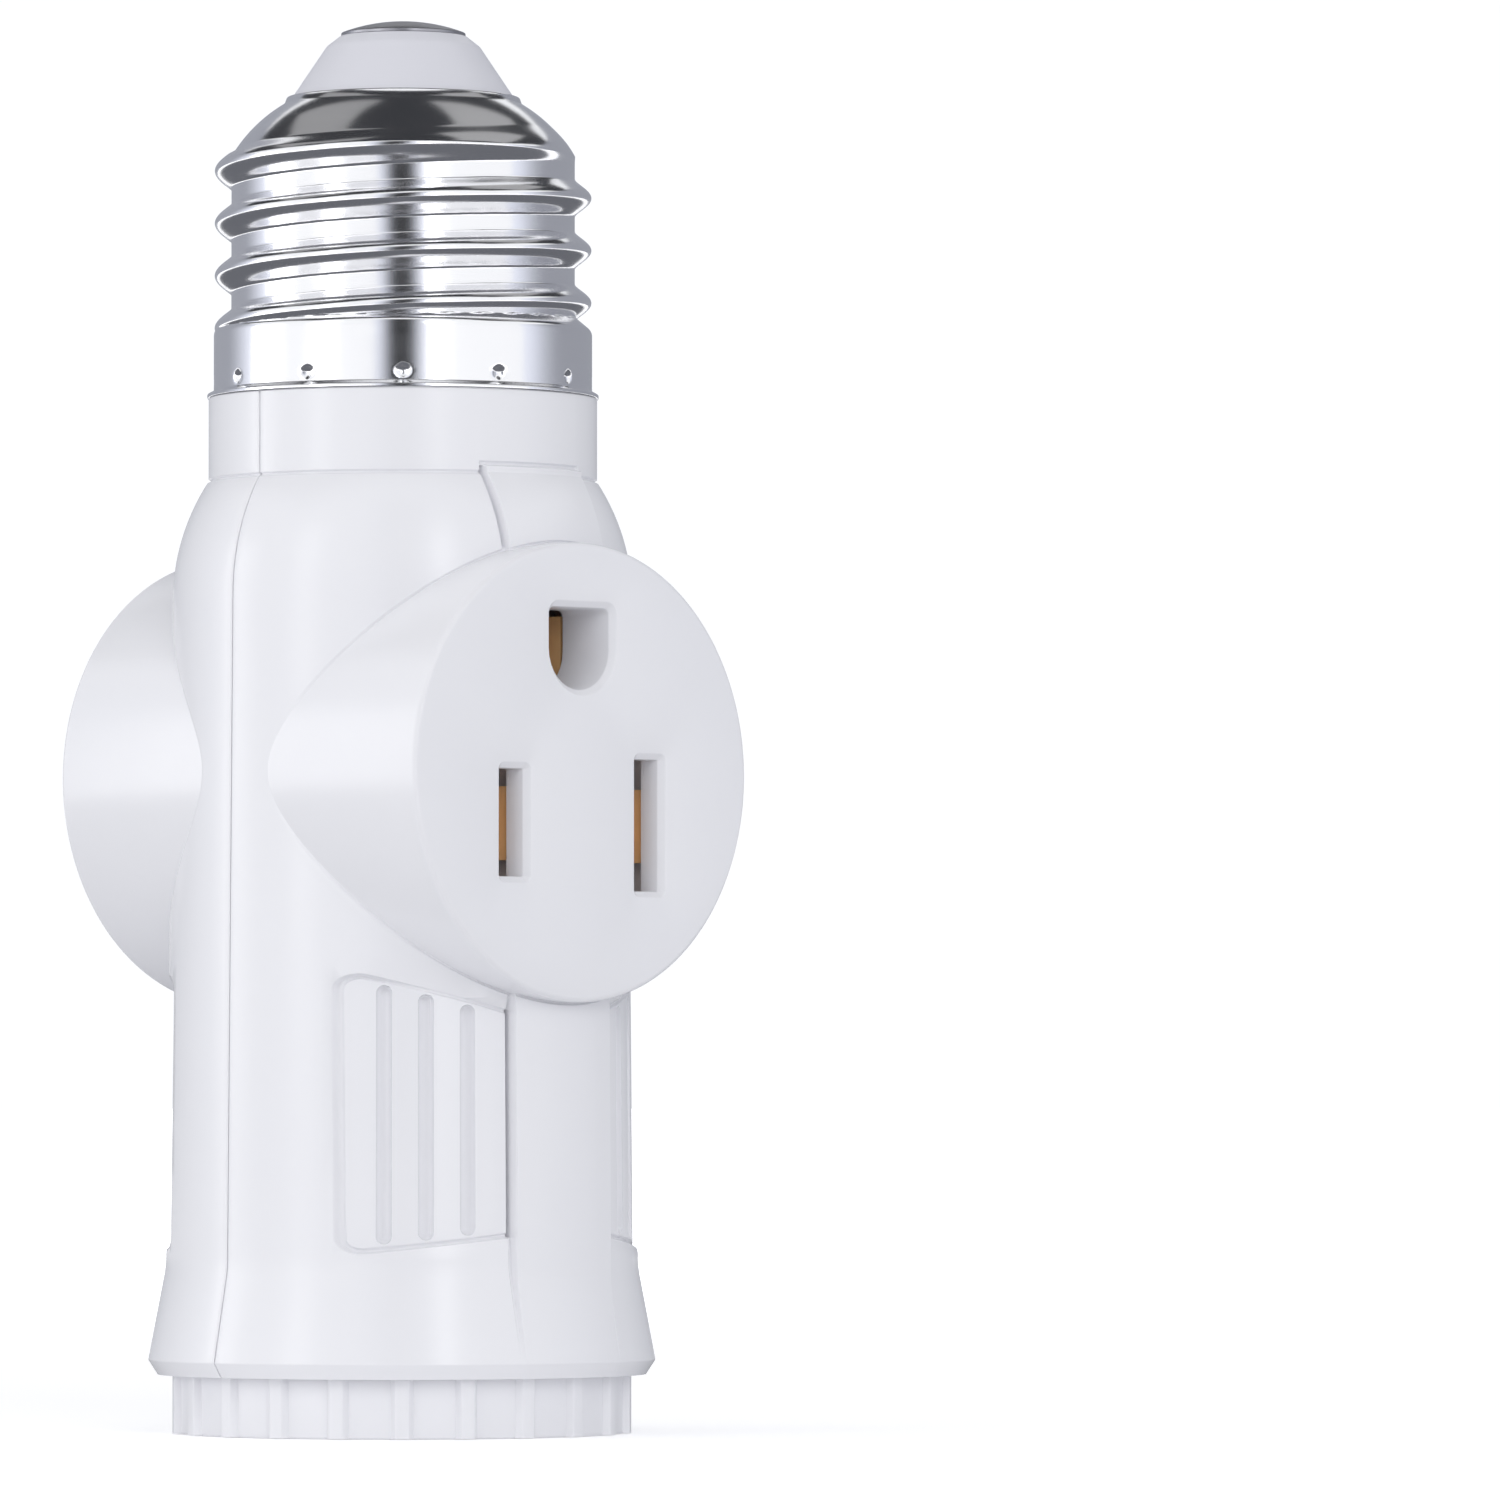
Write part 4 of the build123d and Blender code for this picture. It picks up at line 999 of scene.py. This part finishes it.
def fill(work, outer, holes, axes):
    """Flat face inside an anticlockwise ring of vertices, round some hole rings, drawn on two of the axes."""
    vertices, places = [], []
    for ring in [outer] + holes:
        places.append(list(range(len(vertices), len(vertices) + len(ring))))
        vertices += ring
    edges = [(a, b) for ring in places for a, b in zip(ring, ring[1:] + ring[:1])]
    flat = [Vector((v.co[axes[0]], v.co[axes[1]])) for v in vertices]
    _, _, faces, sources, _, origins = delaunay_2d_cdt(flat, edges, places, 0, FILL_WELD)
    for face, origin in zip(faces, origins):
        if list(origin) == [0]:
            work.faces.new([vertices[sources[i][0]] for i in face])


def boss_ring(work, loop, radius, y):
    """Ring about the outlet axis, at the angles of an existing ring."""
    turns = sorted(outlet_angle(v) for v in loop)
    return [work.verts.new((radius * cos(turn), y, Z_OUTLET + radius * sin(turn))) for turn in turns]


# %% Openings of the outlet
SLOT_X, Z_BLADE, SLOT_WIDTH = 6.35, Z_OUTLET - 3.5, 2.2
HOT_SLOT, NEUTRAL_SLOT, SLOT_BEND = 7.3, 9.0, 0.1
Z_GROUND, GROUND_SIDE, GROUND_BEND = Z_BLADE + 11.9, 5.6, 0.5
ARC_GAP = 0.01
GUIDE_MARGIN, GUIDE_WALL, GUIDE_DEPTH = 1.1, 0.9, 4.6
SLEEVE_WALL, SLEEVE_DEPTH = 1.0, 2.9
# Growth of the opening's outline and depth behind the face, row by row
MOUTH = [(0.46, 0.0), (0.42, 0.01), (0.37, 0.05), (0.08, 0.34), (0.03, 0.39), (0.0, 0.45)]
GUIDE = [
    (0.0, FACE_WALL), (GUIDE_MARGIN, FACE_WALL), (GUIDE_MARGIN, FACE_WALL + GUIDE_DEPTH),
    (GUIDE_MARGIN + GUIDE_WALL, FACE_WALL + GUIDE_DEPTH), (GUIDE_MARGIN + GUIDE_WALL, FACE_WALL),
]
SLEEVE = [(0.0, FACE_WALL + SLEEVE_DEPTH), (SLEEVE_WALL, FACE_WALL + SLEEVE_DEPTH), (SLEEVE_WALL, FACE_WALL)]
GROUND_BENDS = [GROUND_SIDE / 2 - ARC_GAP] * 2 + [GROUND_BEND] * 2
OPENINGS = [
    (box_corners(-SLOT_X, Z_BLADE, SLOT_WIDTH, HOT_SLOT), [SLOT_BEND] * 4, GUIDE),
    (box_corners(SLOT_X, Z_BLADE, SLOT_WIDTH, NEUTRAL_SLOT), [SLOT_BEND] * 4, GUIDE),
    (box_corners(0, Z_GROUND, GROUND_SIDE, GROUND_SIDE), GROUND_BENDS, SLEEVE),
]


def opening(work, corners, bends, inner_rows):
    """Bevelled mouth, wall and guide of one opening; returns its first and last ring."""
    rings = []
    for grow, depth in MOUTH + inner_rows:
        line = outline(corners, bends, grow, arc_steps=8)
        rings.append([work.verts.new((p.x, Y_FACE + depth, p.y)) for p in line])
    for first, second in zip(rings, rings[1:]):
        loft(work, first, second)
    return rings[0], rings[-1]


# %% Housing mesh
SMOOTH_ANGLE = radians(42)
FACE_EDGE_TURNS = [radians(15 * step) for step in range(7)]


def housing_mesh(name, material):
    """One closed housing half, in metres, with its outlet to the front."""
    work = bmesh.new()
    outside = wall(work, moulded_radius, moulded_lines(), BOSS_RADIUS)
    inside = wall(work, plain_radius, plain_lines(), BOSS_RADIUS - BOSS_WALL)
    mouths = [opening(work, *values) for values in OPENINGS]
    ring = outside["hole"]
    foot = [work.edges.get((a, b)) for a, b in zip(ring, ring[1:] + ring[:1])]
    for turn in FACE_EDGE_TURNS:
        radius = BOSS_RADIUS - FACE_EDGE * (1 - cos(turn))
        following = boss_ring(work, ring, radius, Y_FACE + FACE_EDGE * (1 - sin(turn)))
        loft(work, ring, following)
        ring = following
    fill(work, ring, [first for first, last in mouths], (0, 2))
    ring = boss_ring(work, inside["hole"], BOSS_RADIUS - BOSS_WALL, Y_FACE + FACE_WALL)
    loft(work, inside["hole"], ring)
    fill(work, ring, [last for first, last in mouths], (0, 2))
    fill(work, inside["left"] + outside["left"][::-1], [], (0, 2))
    for side, axes in (("right", (0, 2)), ("foot", (0, 1)), ("top", (0, 1))):
        fill(work, outside[side] + inside[side][::-1], [], axes)
    bmesh.ops.recalc_face_normals(work, faces=work.faces)
    for face in work.faces:
        face.smooth = True
    for edge in work.edges:
        edge.smooth = edge not in foot and edge.calc_face_angle(0) < SMOOTH_ANGLE
    open_edges = sum(1 for edge in work.edges if len(edge.link_faces) != 2)
    print(name, len(work.faces), "faces,", open_edges, "open edges")
    bmesh.ops.scale(work, vec=(MM, MM, MM), verts=work.verts)
    mesh = bpy.data.meshes.new(name)
    work.to_mesh(mesh)
    work.free()
    mesh.materials.append(material)
    return mesh


front_mesh = housing_mesh("front_housing_moulding", finish["white_moulding"])
rear_mesh = front_mesh.copy()
rear_mesh.transform(Matrix.Rotation(pi, 4, "Z"))
for node, mesh in (("front_housing", front_mesh), ("rear_housing", rear_mesh)):
    half = bpy.data.objects.new(node + "_moulding", mesh)
    scene.collection.objects.link(half)
    dress(half, node)

# %% [markdown]
# ## Lamp socket
# Below the body sits the socket: a white core whose ribbed ring shows under the rim, and a metal sleeve
# with a rolled thread for the lamp. The ribs repeat round the ring, so a second tree draws one rib as a
# curve, fills and raises it, and places copies on a circle. The sleeve is the lathe tree again, with its
# bead turned inwards.

# %% Rib tree
RIB_SIZES = (
    "Ring Radius", "Foot Width", "Top Width", "Rib Depth", "Rib Length", "Rib Foot", "Corner", "Start",
)
RIB_CORNER_POINTS = 4


def rib_tree():
    """Join upright ribs, evenly spaced round the Z axis, to the incoming piece."""
    tree, given, made = geometry_tree("ring_ribs", ["Count"], RIB_SIZES)
    value = given.outputs
    widths = {"Bottom Width": value["Foot Width"], "Top Width": value["Top Width"]}
    sides = {**widths, "Height": value["Rib Depth"], "Offset": 0.0}
    section = add(tree, "GeometryNodeCurvePrimitiveQuadrilateral", sides, mode="TRAPEZOID")
    corner = {"Radius": value["Corner"], "Limit Radius": True, "Count": RIB_CORNER_POINTS}
    soft = add(tree, "GeometryNodeFilletCurve", {"Curve": section.outputs["Curve"], **corner}, mode="POLY")
    plate = add(tree, "GeometryNodeFillCurve", {"Curve": soft.outputs["Curve"]}, mode="NGONS").outputs["Mesh"]
    length = {"Mesh": plate, "Offset Scale": value["Rib Length"]}
    raised = add(tree, "GeometryNodeExtrudeMesh", length).outputs["Mesh"]
    base = add(tree, "GeometryNodeFlipFaces", {"Mesh": plate}).outputs["Mesh"]
    solid = add(tree, "GeometryNodeJoinGeometry", {0: [raised, base]}).outputs[0]
    rib = add(tree, "GeometryNodeMergeByDistance", {"Geometry": solid, "Distance": TREE_WELD}).outputs[0]
    circle = {"Resolution": value["Count"], "Radius": value["Ring Radius"]}
    ring = add(tree, "GeometryNodeCurvePrimitiveCircle", circle).outputs["Curve"]
    index = add(tree, "GeometryNodeInputIndex").outputs[0]
    turn = calc(tree, "DIVIDE", calc(tree, "MULTIPLY", index, 2 * pi), value["Count"])
    facing = add(tree, "ShaderNodeCombineXYZ", {"Z": calc(tree, "SUBTRACT", turn, pi / 2)}).outputs[0]
    copies = add(tree, "GeometryNodeInstanceOnPoints", {"Points": ring, "Instance": rib, "Rotation": facing})
    spin = add(tree, "ShaderNodeCombineXYZ", {"Z": value["Start"]}).outputs[0]
    lift = add(tree, "ShaderNodeCombineXYZ", {"Z": value["Rib Foot"]}).outputs[0]
    motion = {"Geometry": copies.outputs["Instances"], "Rotation": spin, "Translation": lift}
    placed = add(tree, "GeometryNodeTransform", motion).outputs[0]
    whole = add(tree, "GeometryNodeJoinGeometry", {0: [placed, value["Geometry"]]}).outputs[0]
    end_tree(tree, whole, given, made)
    return tree


ring_ribs = rib_tree()
print("rib tree with", len(ring_ribs.nodes), "nodes")

# %% Socket core
_, core_high = (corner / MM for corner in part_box("socket_core"))
RING_RADIUS, RING_HEIGHT, CORE_RADIUS = 15.4, Z_FOOT, 14.5
COLLAR_RADIUS, Z_COLLAR, Z_COLLAR_TOP = 15.1, 24, 26
CUP_RADIUS, MOUTH_RADIUS, MOUTH_DEPTH, MOUTH_BEVEL = 13.6, 13.9, 3.0, 0.4
Z_FLOOR, Z_FLOOR_TOP = 27.0, core_high.z
RIB_COUNT, RIB_TURN, RIB_WIDTH, RIB_PROUD, RIB_GAP = 22, 227, 1.1, 0.45, 0.03
RIB_TAPER, RIB_CORNER = 0.14, 0.16
core_profile = rounded([
    (0, Z_FLOOR_TOP, 0), (CORE_RADIUS, Z_FLOOR_TOP, 0.2), (CORE_RADIUS, Z_COLLAR_TOP, 0.05),
    (COLLAR_RADIUS, Z_COLLAR_TOP, 0.1), (COLLAR_RADIUS, Z_COLLAR, 0.1), (CORE_RADIUS, Z_COLLAR, 0.05),
    (CORE_RADIUS, RING_HEIGHT, 0.05), (RING_RADIUS, RING_HEIGHT, 0.1), (RING_RADIUS, 0, 0.2),
    (MOUTH_RADIUS + MOUTH_BEVEL, 0, 0.1), (MOUTH_RADIUS, MOUTH_BEVEL, 0.1), (MOUTH_RADIUS, MOUTH_DEPTH, 0.1),
    (CUP_RADIUS, MOUTH_DEPTH, 0.1), (CUP_RADIUS, Z_FLOOR, 0.2), (0, Z_FLOOR, 0),
], arc_steps=4)
ribs = (ring_ribs, {
    "Count": RIB_COUNT, "Ring Radius": RING_RADIUS * MM, "Foot Width": (RIB_WIDTH + 2 * RIB_PROUD) * MM,
    "Top Width": (RIB_WIDTH - RIB_TAPER) * MM, "Rib Depth": 2 * RIB_PROUD * MM,
    "Rib Length": (RING_HEIGHT - 2 * RIB_GAP) * MM, "Rib Foot": RIB_GAP * MM, "Corner": RIB_CORNER * MM,
    "Start": radians(RIB_TURN), "Material": finish["white_socket_moulding"],
})
core = turned(
    "socket_core_moulding", core_profile, finish["white_socket_moulding"], segments=132, trees=[ribs],
)
dress(core, "socket_core")

# %% Socket sleeve
SLEEVE_RADIUS, SLEEVE_BORE, SLEEVE_FLANGE, SLEEVE_SHEET = 13.55, 13.15, 9.01, 0.4
SLEEVE_CREST, SLEEVE_BEAD, Z_SLEEVE_THREAD = 12.2, 2.3, 6.0
Z_SLEEVE_THREAD_END = Z_SLEEVE_THREAD + 14.6
SLEEVE_GAP, SLEEVE_LIP, SLEEVE_BEND, THREAD_LEAD, THREAD_EASE = 0.1, 0.15, 0.5, 1.0, 1.5
Z_SLEEVE = MOUTH_DEPTH + SLEEVE_GAP
Z_SLEEVE_TOP = Z_FLOOR - SLEEVE_SHEET
Z_BORE, Z_BORE_TOP = Z_SLEEVE + SLEEVE_LIP, Z_SLEEVE_TOP - SLEEVE_BEND
BORE_GAP = 0.14
bore_rows = spaced([Vector((SLEEVE_BORE, Z_BORE)), Vector((SLEEVE_BORE, Z_BORE_TOP))], BORE_GAP)
sleeve_rest = rounded([
    (SLEEVE_BORE, Z_BORE_TOP, 0), (SLEEVE_BORE, Z_SLEEVE_TOP, 0.3), (SLEEVE_FLANGE, Z_SLEEVE_TOP, 0.1),
    (SLEEVE_FLANGE, Z_FLOOR, 0.1), (SLEEVE_RADIUS, Z_FLOOR, 0.3), (SLEEVE_RADIUS, Z_SLEEVE, 0.1),
    (SLEEVE_BORE, Z_SLEEVE, 0.1), (SLEEVE_BORE, Z_BORE, 0),
])[1:]
sleeve_mask = [min(max((p.y - Z_SLEEVE_THREAD + THREAD_LEAD) / THREAD_EASE, 0.0), 1.0) for p in bore_rows]
sleeve = turned(
    "socket_sleeve", bore_rows + sleeve_rest, finish["sleeve_metal"], segments=160,
    threaded=sleeve_mask + [0.0] * len(sleeve_rest),
    rule={
        "Bead Height": (SLEEVE_BORE - SLEEVE_CREST) * MM, "Bead Width": SLEEVE_BEAD * MM, "Pitch": PITCH * MM,
        "Bead Foot": Z_SLEEVE_THREAD * MM, "Side": -1.0, "Root Radius": SLEEVE_BORE * MM,
        "Fade Low": (Z_SLEEVE_THREAD_END - THREAD_LEAD) * MM, "Fade High": Z_SLEEVE_THREAD_END * MM,
    },
)
dress(sleeve, "socket_shell")

# %% [markdown]
# ## Lamp contact
# A leaf spring is riveted under the socket's floor and carries a contact button that the lamp presses
# upwards. The button rides on its own body. The leaf is fixed at one end and holds the button at the
# other. It is a strip swept along its bent line, with closely spaced points.

# %% Button and rivets
button_low, button_high = (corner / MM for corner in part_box("contact_button"))
LEAF_THICK, LEAF_WIDTH, LEAF_ROOT, LEAF_BEND, LEAF_TIP, LEAF_DROP = 0.4, 4.6, 8.4, 4.6, 2.6, 2.8
BUTTON_TIP, BUTTON_RADIUS, BUTTON_SHANK, BUTTON_HEAD = 1.4, 2.3, 0.9, 1.6
BUTTON_HEIGHT, BUTTON_LAND = 1.2, 0.5
z_under_leaf = button_low.z + BUTTON_HEIGHT
z_over_leaf = z_under_leaf + LEAF_THICK
button_profile = rounded([
    (0, button_low.z, 0), (BUTTON_TIP, button_low.z, 0.5), (BUTTON_RADIUS, z_under_leaf - BUTTON_LAND, 0.25),
    (BUTTON_RADIUS, z_under_leaf, 0.1), (BUTTON_SHANK, z_under_leaf, 0), (BUTTON_SHANK, z_over_leaf, 0),
    (BUTTON_HEAD, z_over_leaf, 0.1), (BUTTON_HEAD, button_high.z, 0.25), (0, button_high.z, 0),
])
button = turned("contact_button_cap", button_profile, finish["contact_copper"], segments=48)
dress(button, "contact_button", "button")

RIVET_HEAD, RIVET_SHANK, RIVET_DOME, RIVET_EDGE = 0.6, 0.9, 0.45, 0.08
for node in ("tongue_rivet", "shell_rivet"):
    rivet_low, rivet_high = (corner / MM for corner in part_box(node))
    radius, low, high = (rivet_high.x - rivet_low.x) / 2, rivet_low.z, rivet_high.z
    rivet_profile = rounded([
        (0, low, 0), (radius, low, RIVET_DOME), (radius, low + RIVET_HEAD, RIVET_EDGE),
        (RIVET_SHANK, low + RIVET_HEAD, 0), (RIVET_SHANK, high - RIVET_HEAD, 0),
        (radius, high - RIVET_HEAD, RIVET_EDGE), (radius, high, RIVET_DOME), (0, high, 0),
    ])
    middle = (rivet_low.x + rivet_high.x) / 2
    dress(turned(node + "_body", rivet_profile, finish["rivet_plate"], segments=32, centre_x=middle), node)

# %% Contact leaf
LEAF_EDGE, LEAF_GAP = 0.12, 0.25


def swept_leaf(name, line, width, thick, material):
    """Strip with rounded edges, swept along a line in the XZ plane."""
    work = bmesh.new()
    rings = []
    section = outline(box_corners(0, 0, width, thick), [LEAF_EDGE] * 4, arc_steps=4)
    for i, here in enumerate(line):
        run = (line[min(i + 1, len(line) - 1)] - line[max(i - 1, 0)]).normalized()
        up = Vector((run.y, -run.x))
        spots = [here + up * p.y for p in section]
        rings.append([work.verts.new((q.x * MM, p.x * MM, q.y * MM)) for p, q in zip(section, spots)])
    for first, second in zip(rings, rings[1:]):
        loft(work, first, second)
    work.faces.new(rings[0])
    work.faces.new(rings[-1][::-1])
    bmesh.ops.recalc_face_normals(work, faces=work.faces)
    mesh = bpy.data.meshes.new(name)
    work.to_mesh(mesh)
    work.free()
    mesh.materials.append(material)
    mesh.shade_smooth()
    mesh.set_sharp_from_angle(angle=SMOOTH_ANGLE)
    piece = bpy.data.objects.new(name, mesh)
    scene.collection.objects.link(piece)
    return piece


z_root = Z_FLOOR - LEAF_THICK / 2
z_tip = z_root - LEAF_DROP
leaf_line = spaced(rounded([
    (LEAF_ROOT, z_root, 0), (LEAF_BEND, z_root, 2 * LEAF_THICK), (LEAF_TIP, z_tip, 2 * LEAF_THICK),
    (-LEAF_TIP, z_tip, 0),
]), LEAF_GAP)
leaf = swept_leaf("contact_leaf", leaf_line, LEAF_WIDTH, LEAF_THICK, finish["contact_copper"])
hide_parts("contact_tongue")
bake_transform(leaf)
print(leaf.name, len(leaf.data.polygons), "faces")

# %% [markdown]
# ## Outlet contacts
# Behind the slots and the ground hole stand bent copper leaves, with buses, links and straps that join them
# to the socket and the screw base. Only slivers of them show through the openings. Their CAD sheets already
# have the true form, so they keep it and only get the copper finish.

# %% Copper finish
contacts = [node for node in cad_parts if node.endswith(("clip", "bus", "link", "strap"))]
for node in contacts:
    sheet_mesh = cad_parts[node].data
    sheet_mesh.materials.clear()
    sheet_mesh.materials.append(finish["contact_copper"])
print("copper contacts:", len(contacts))
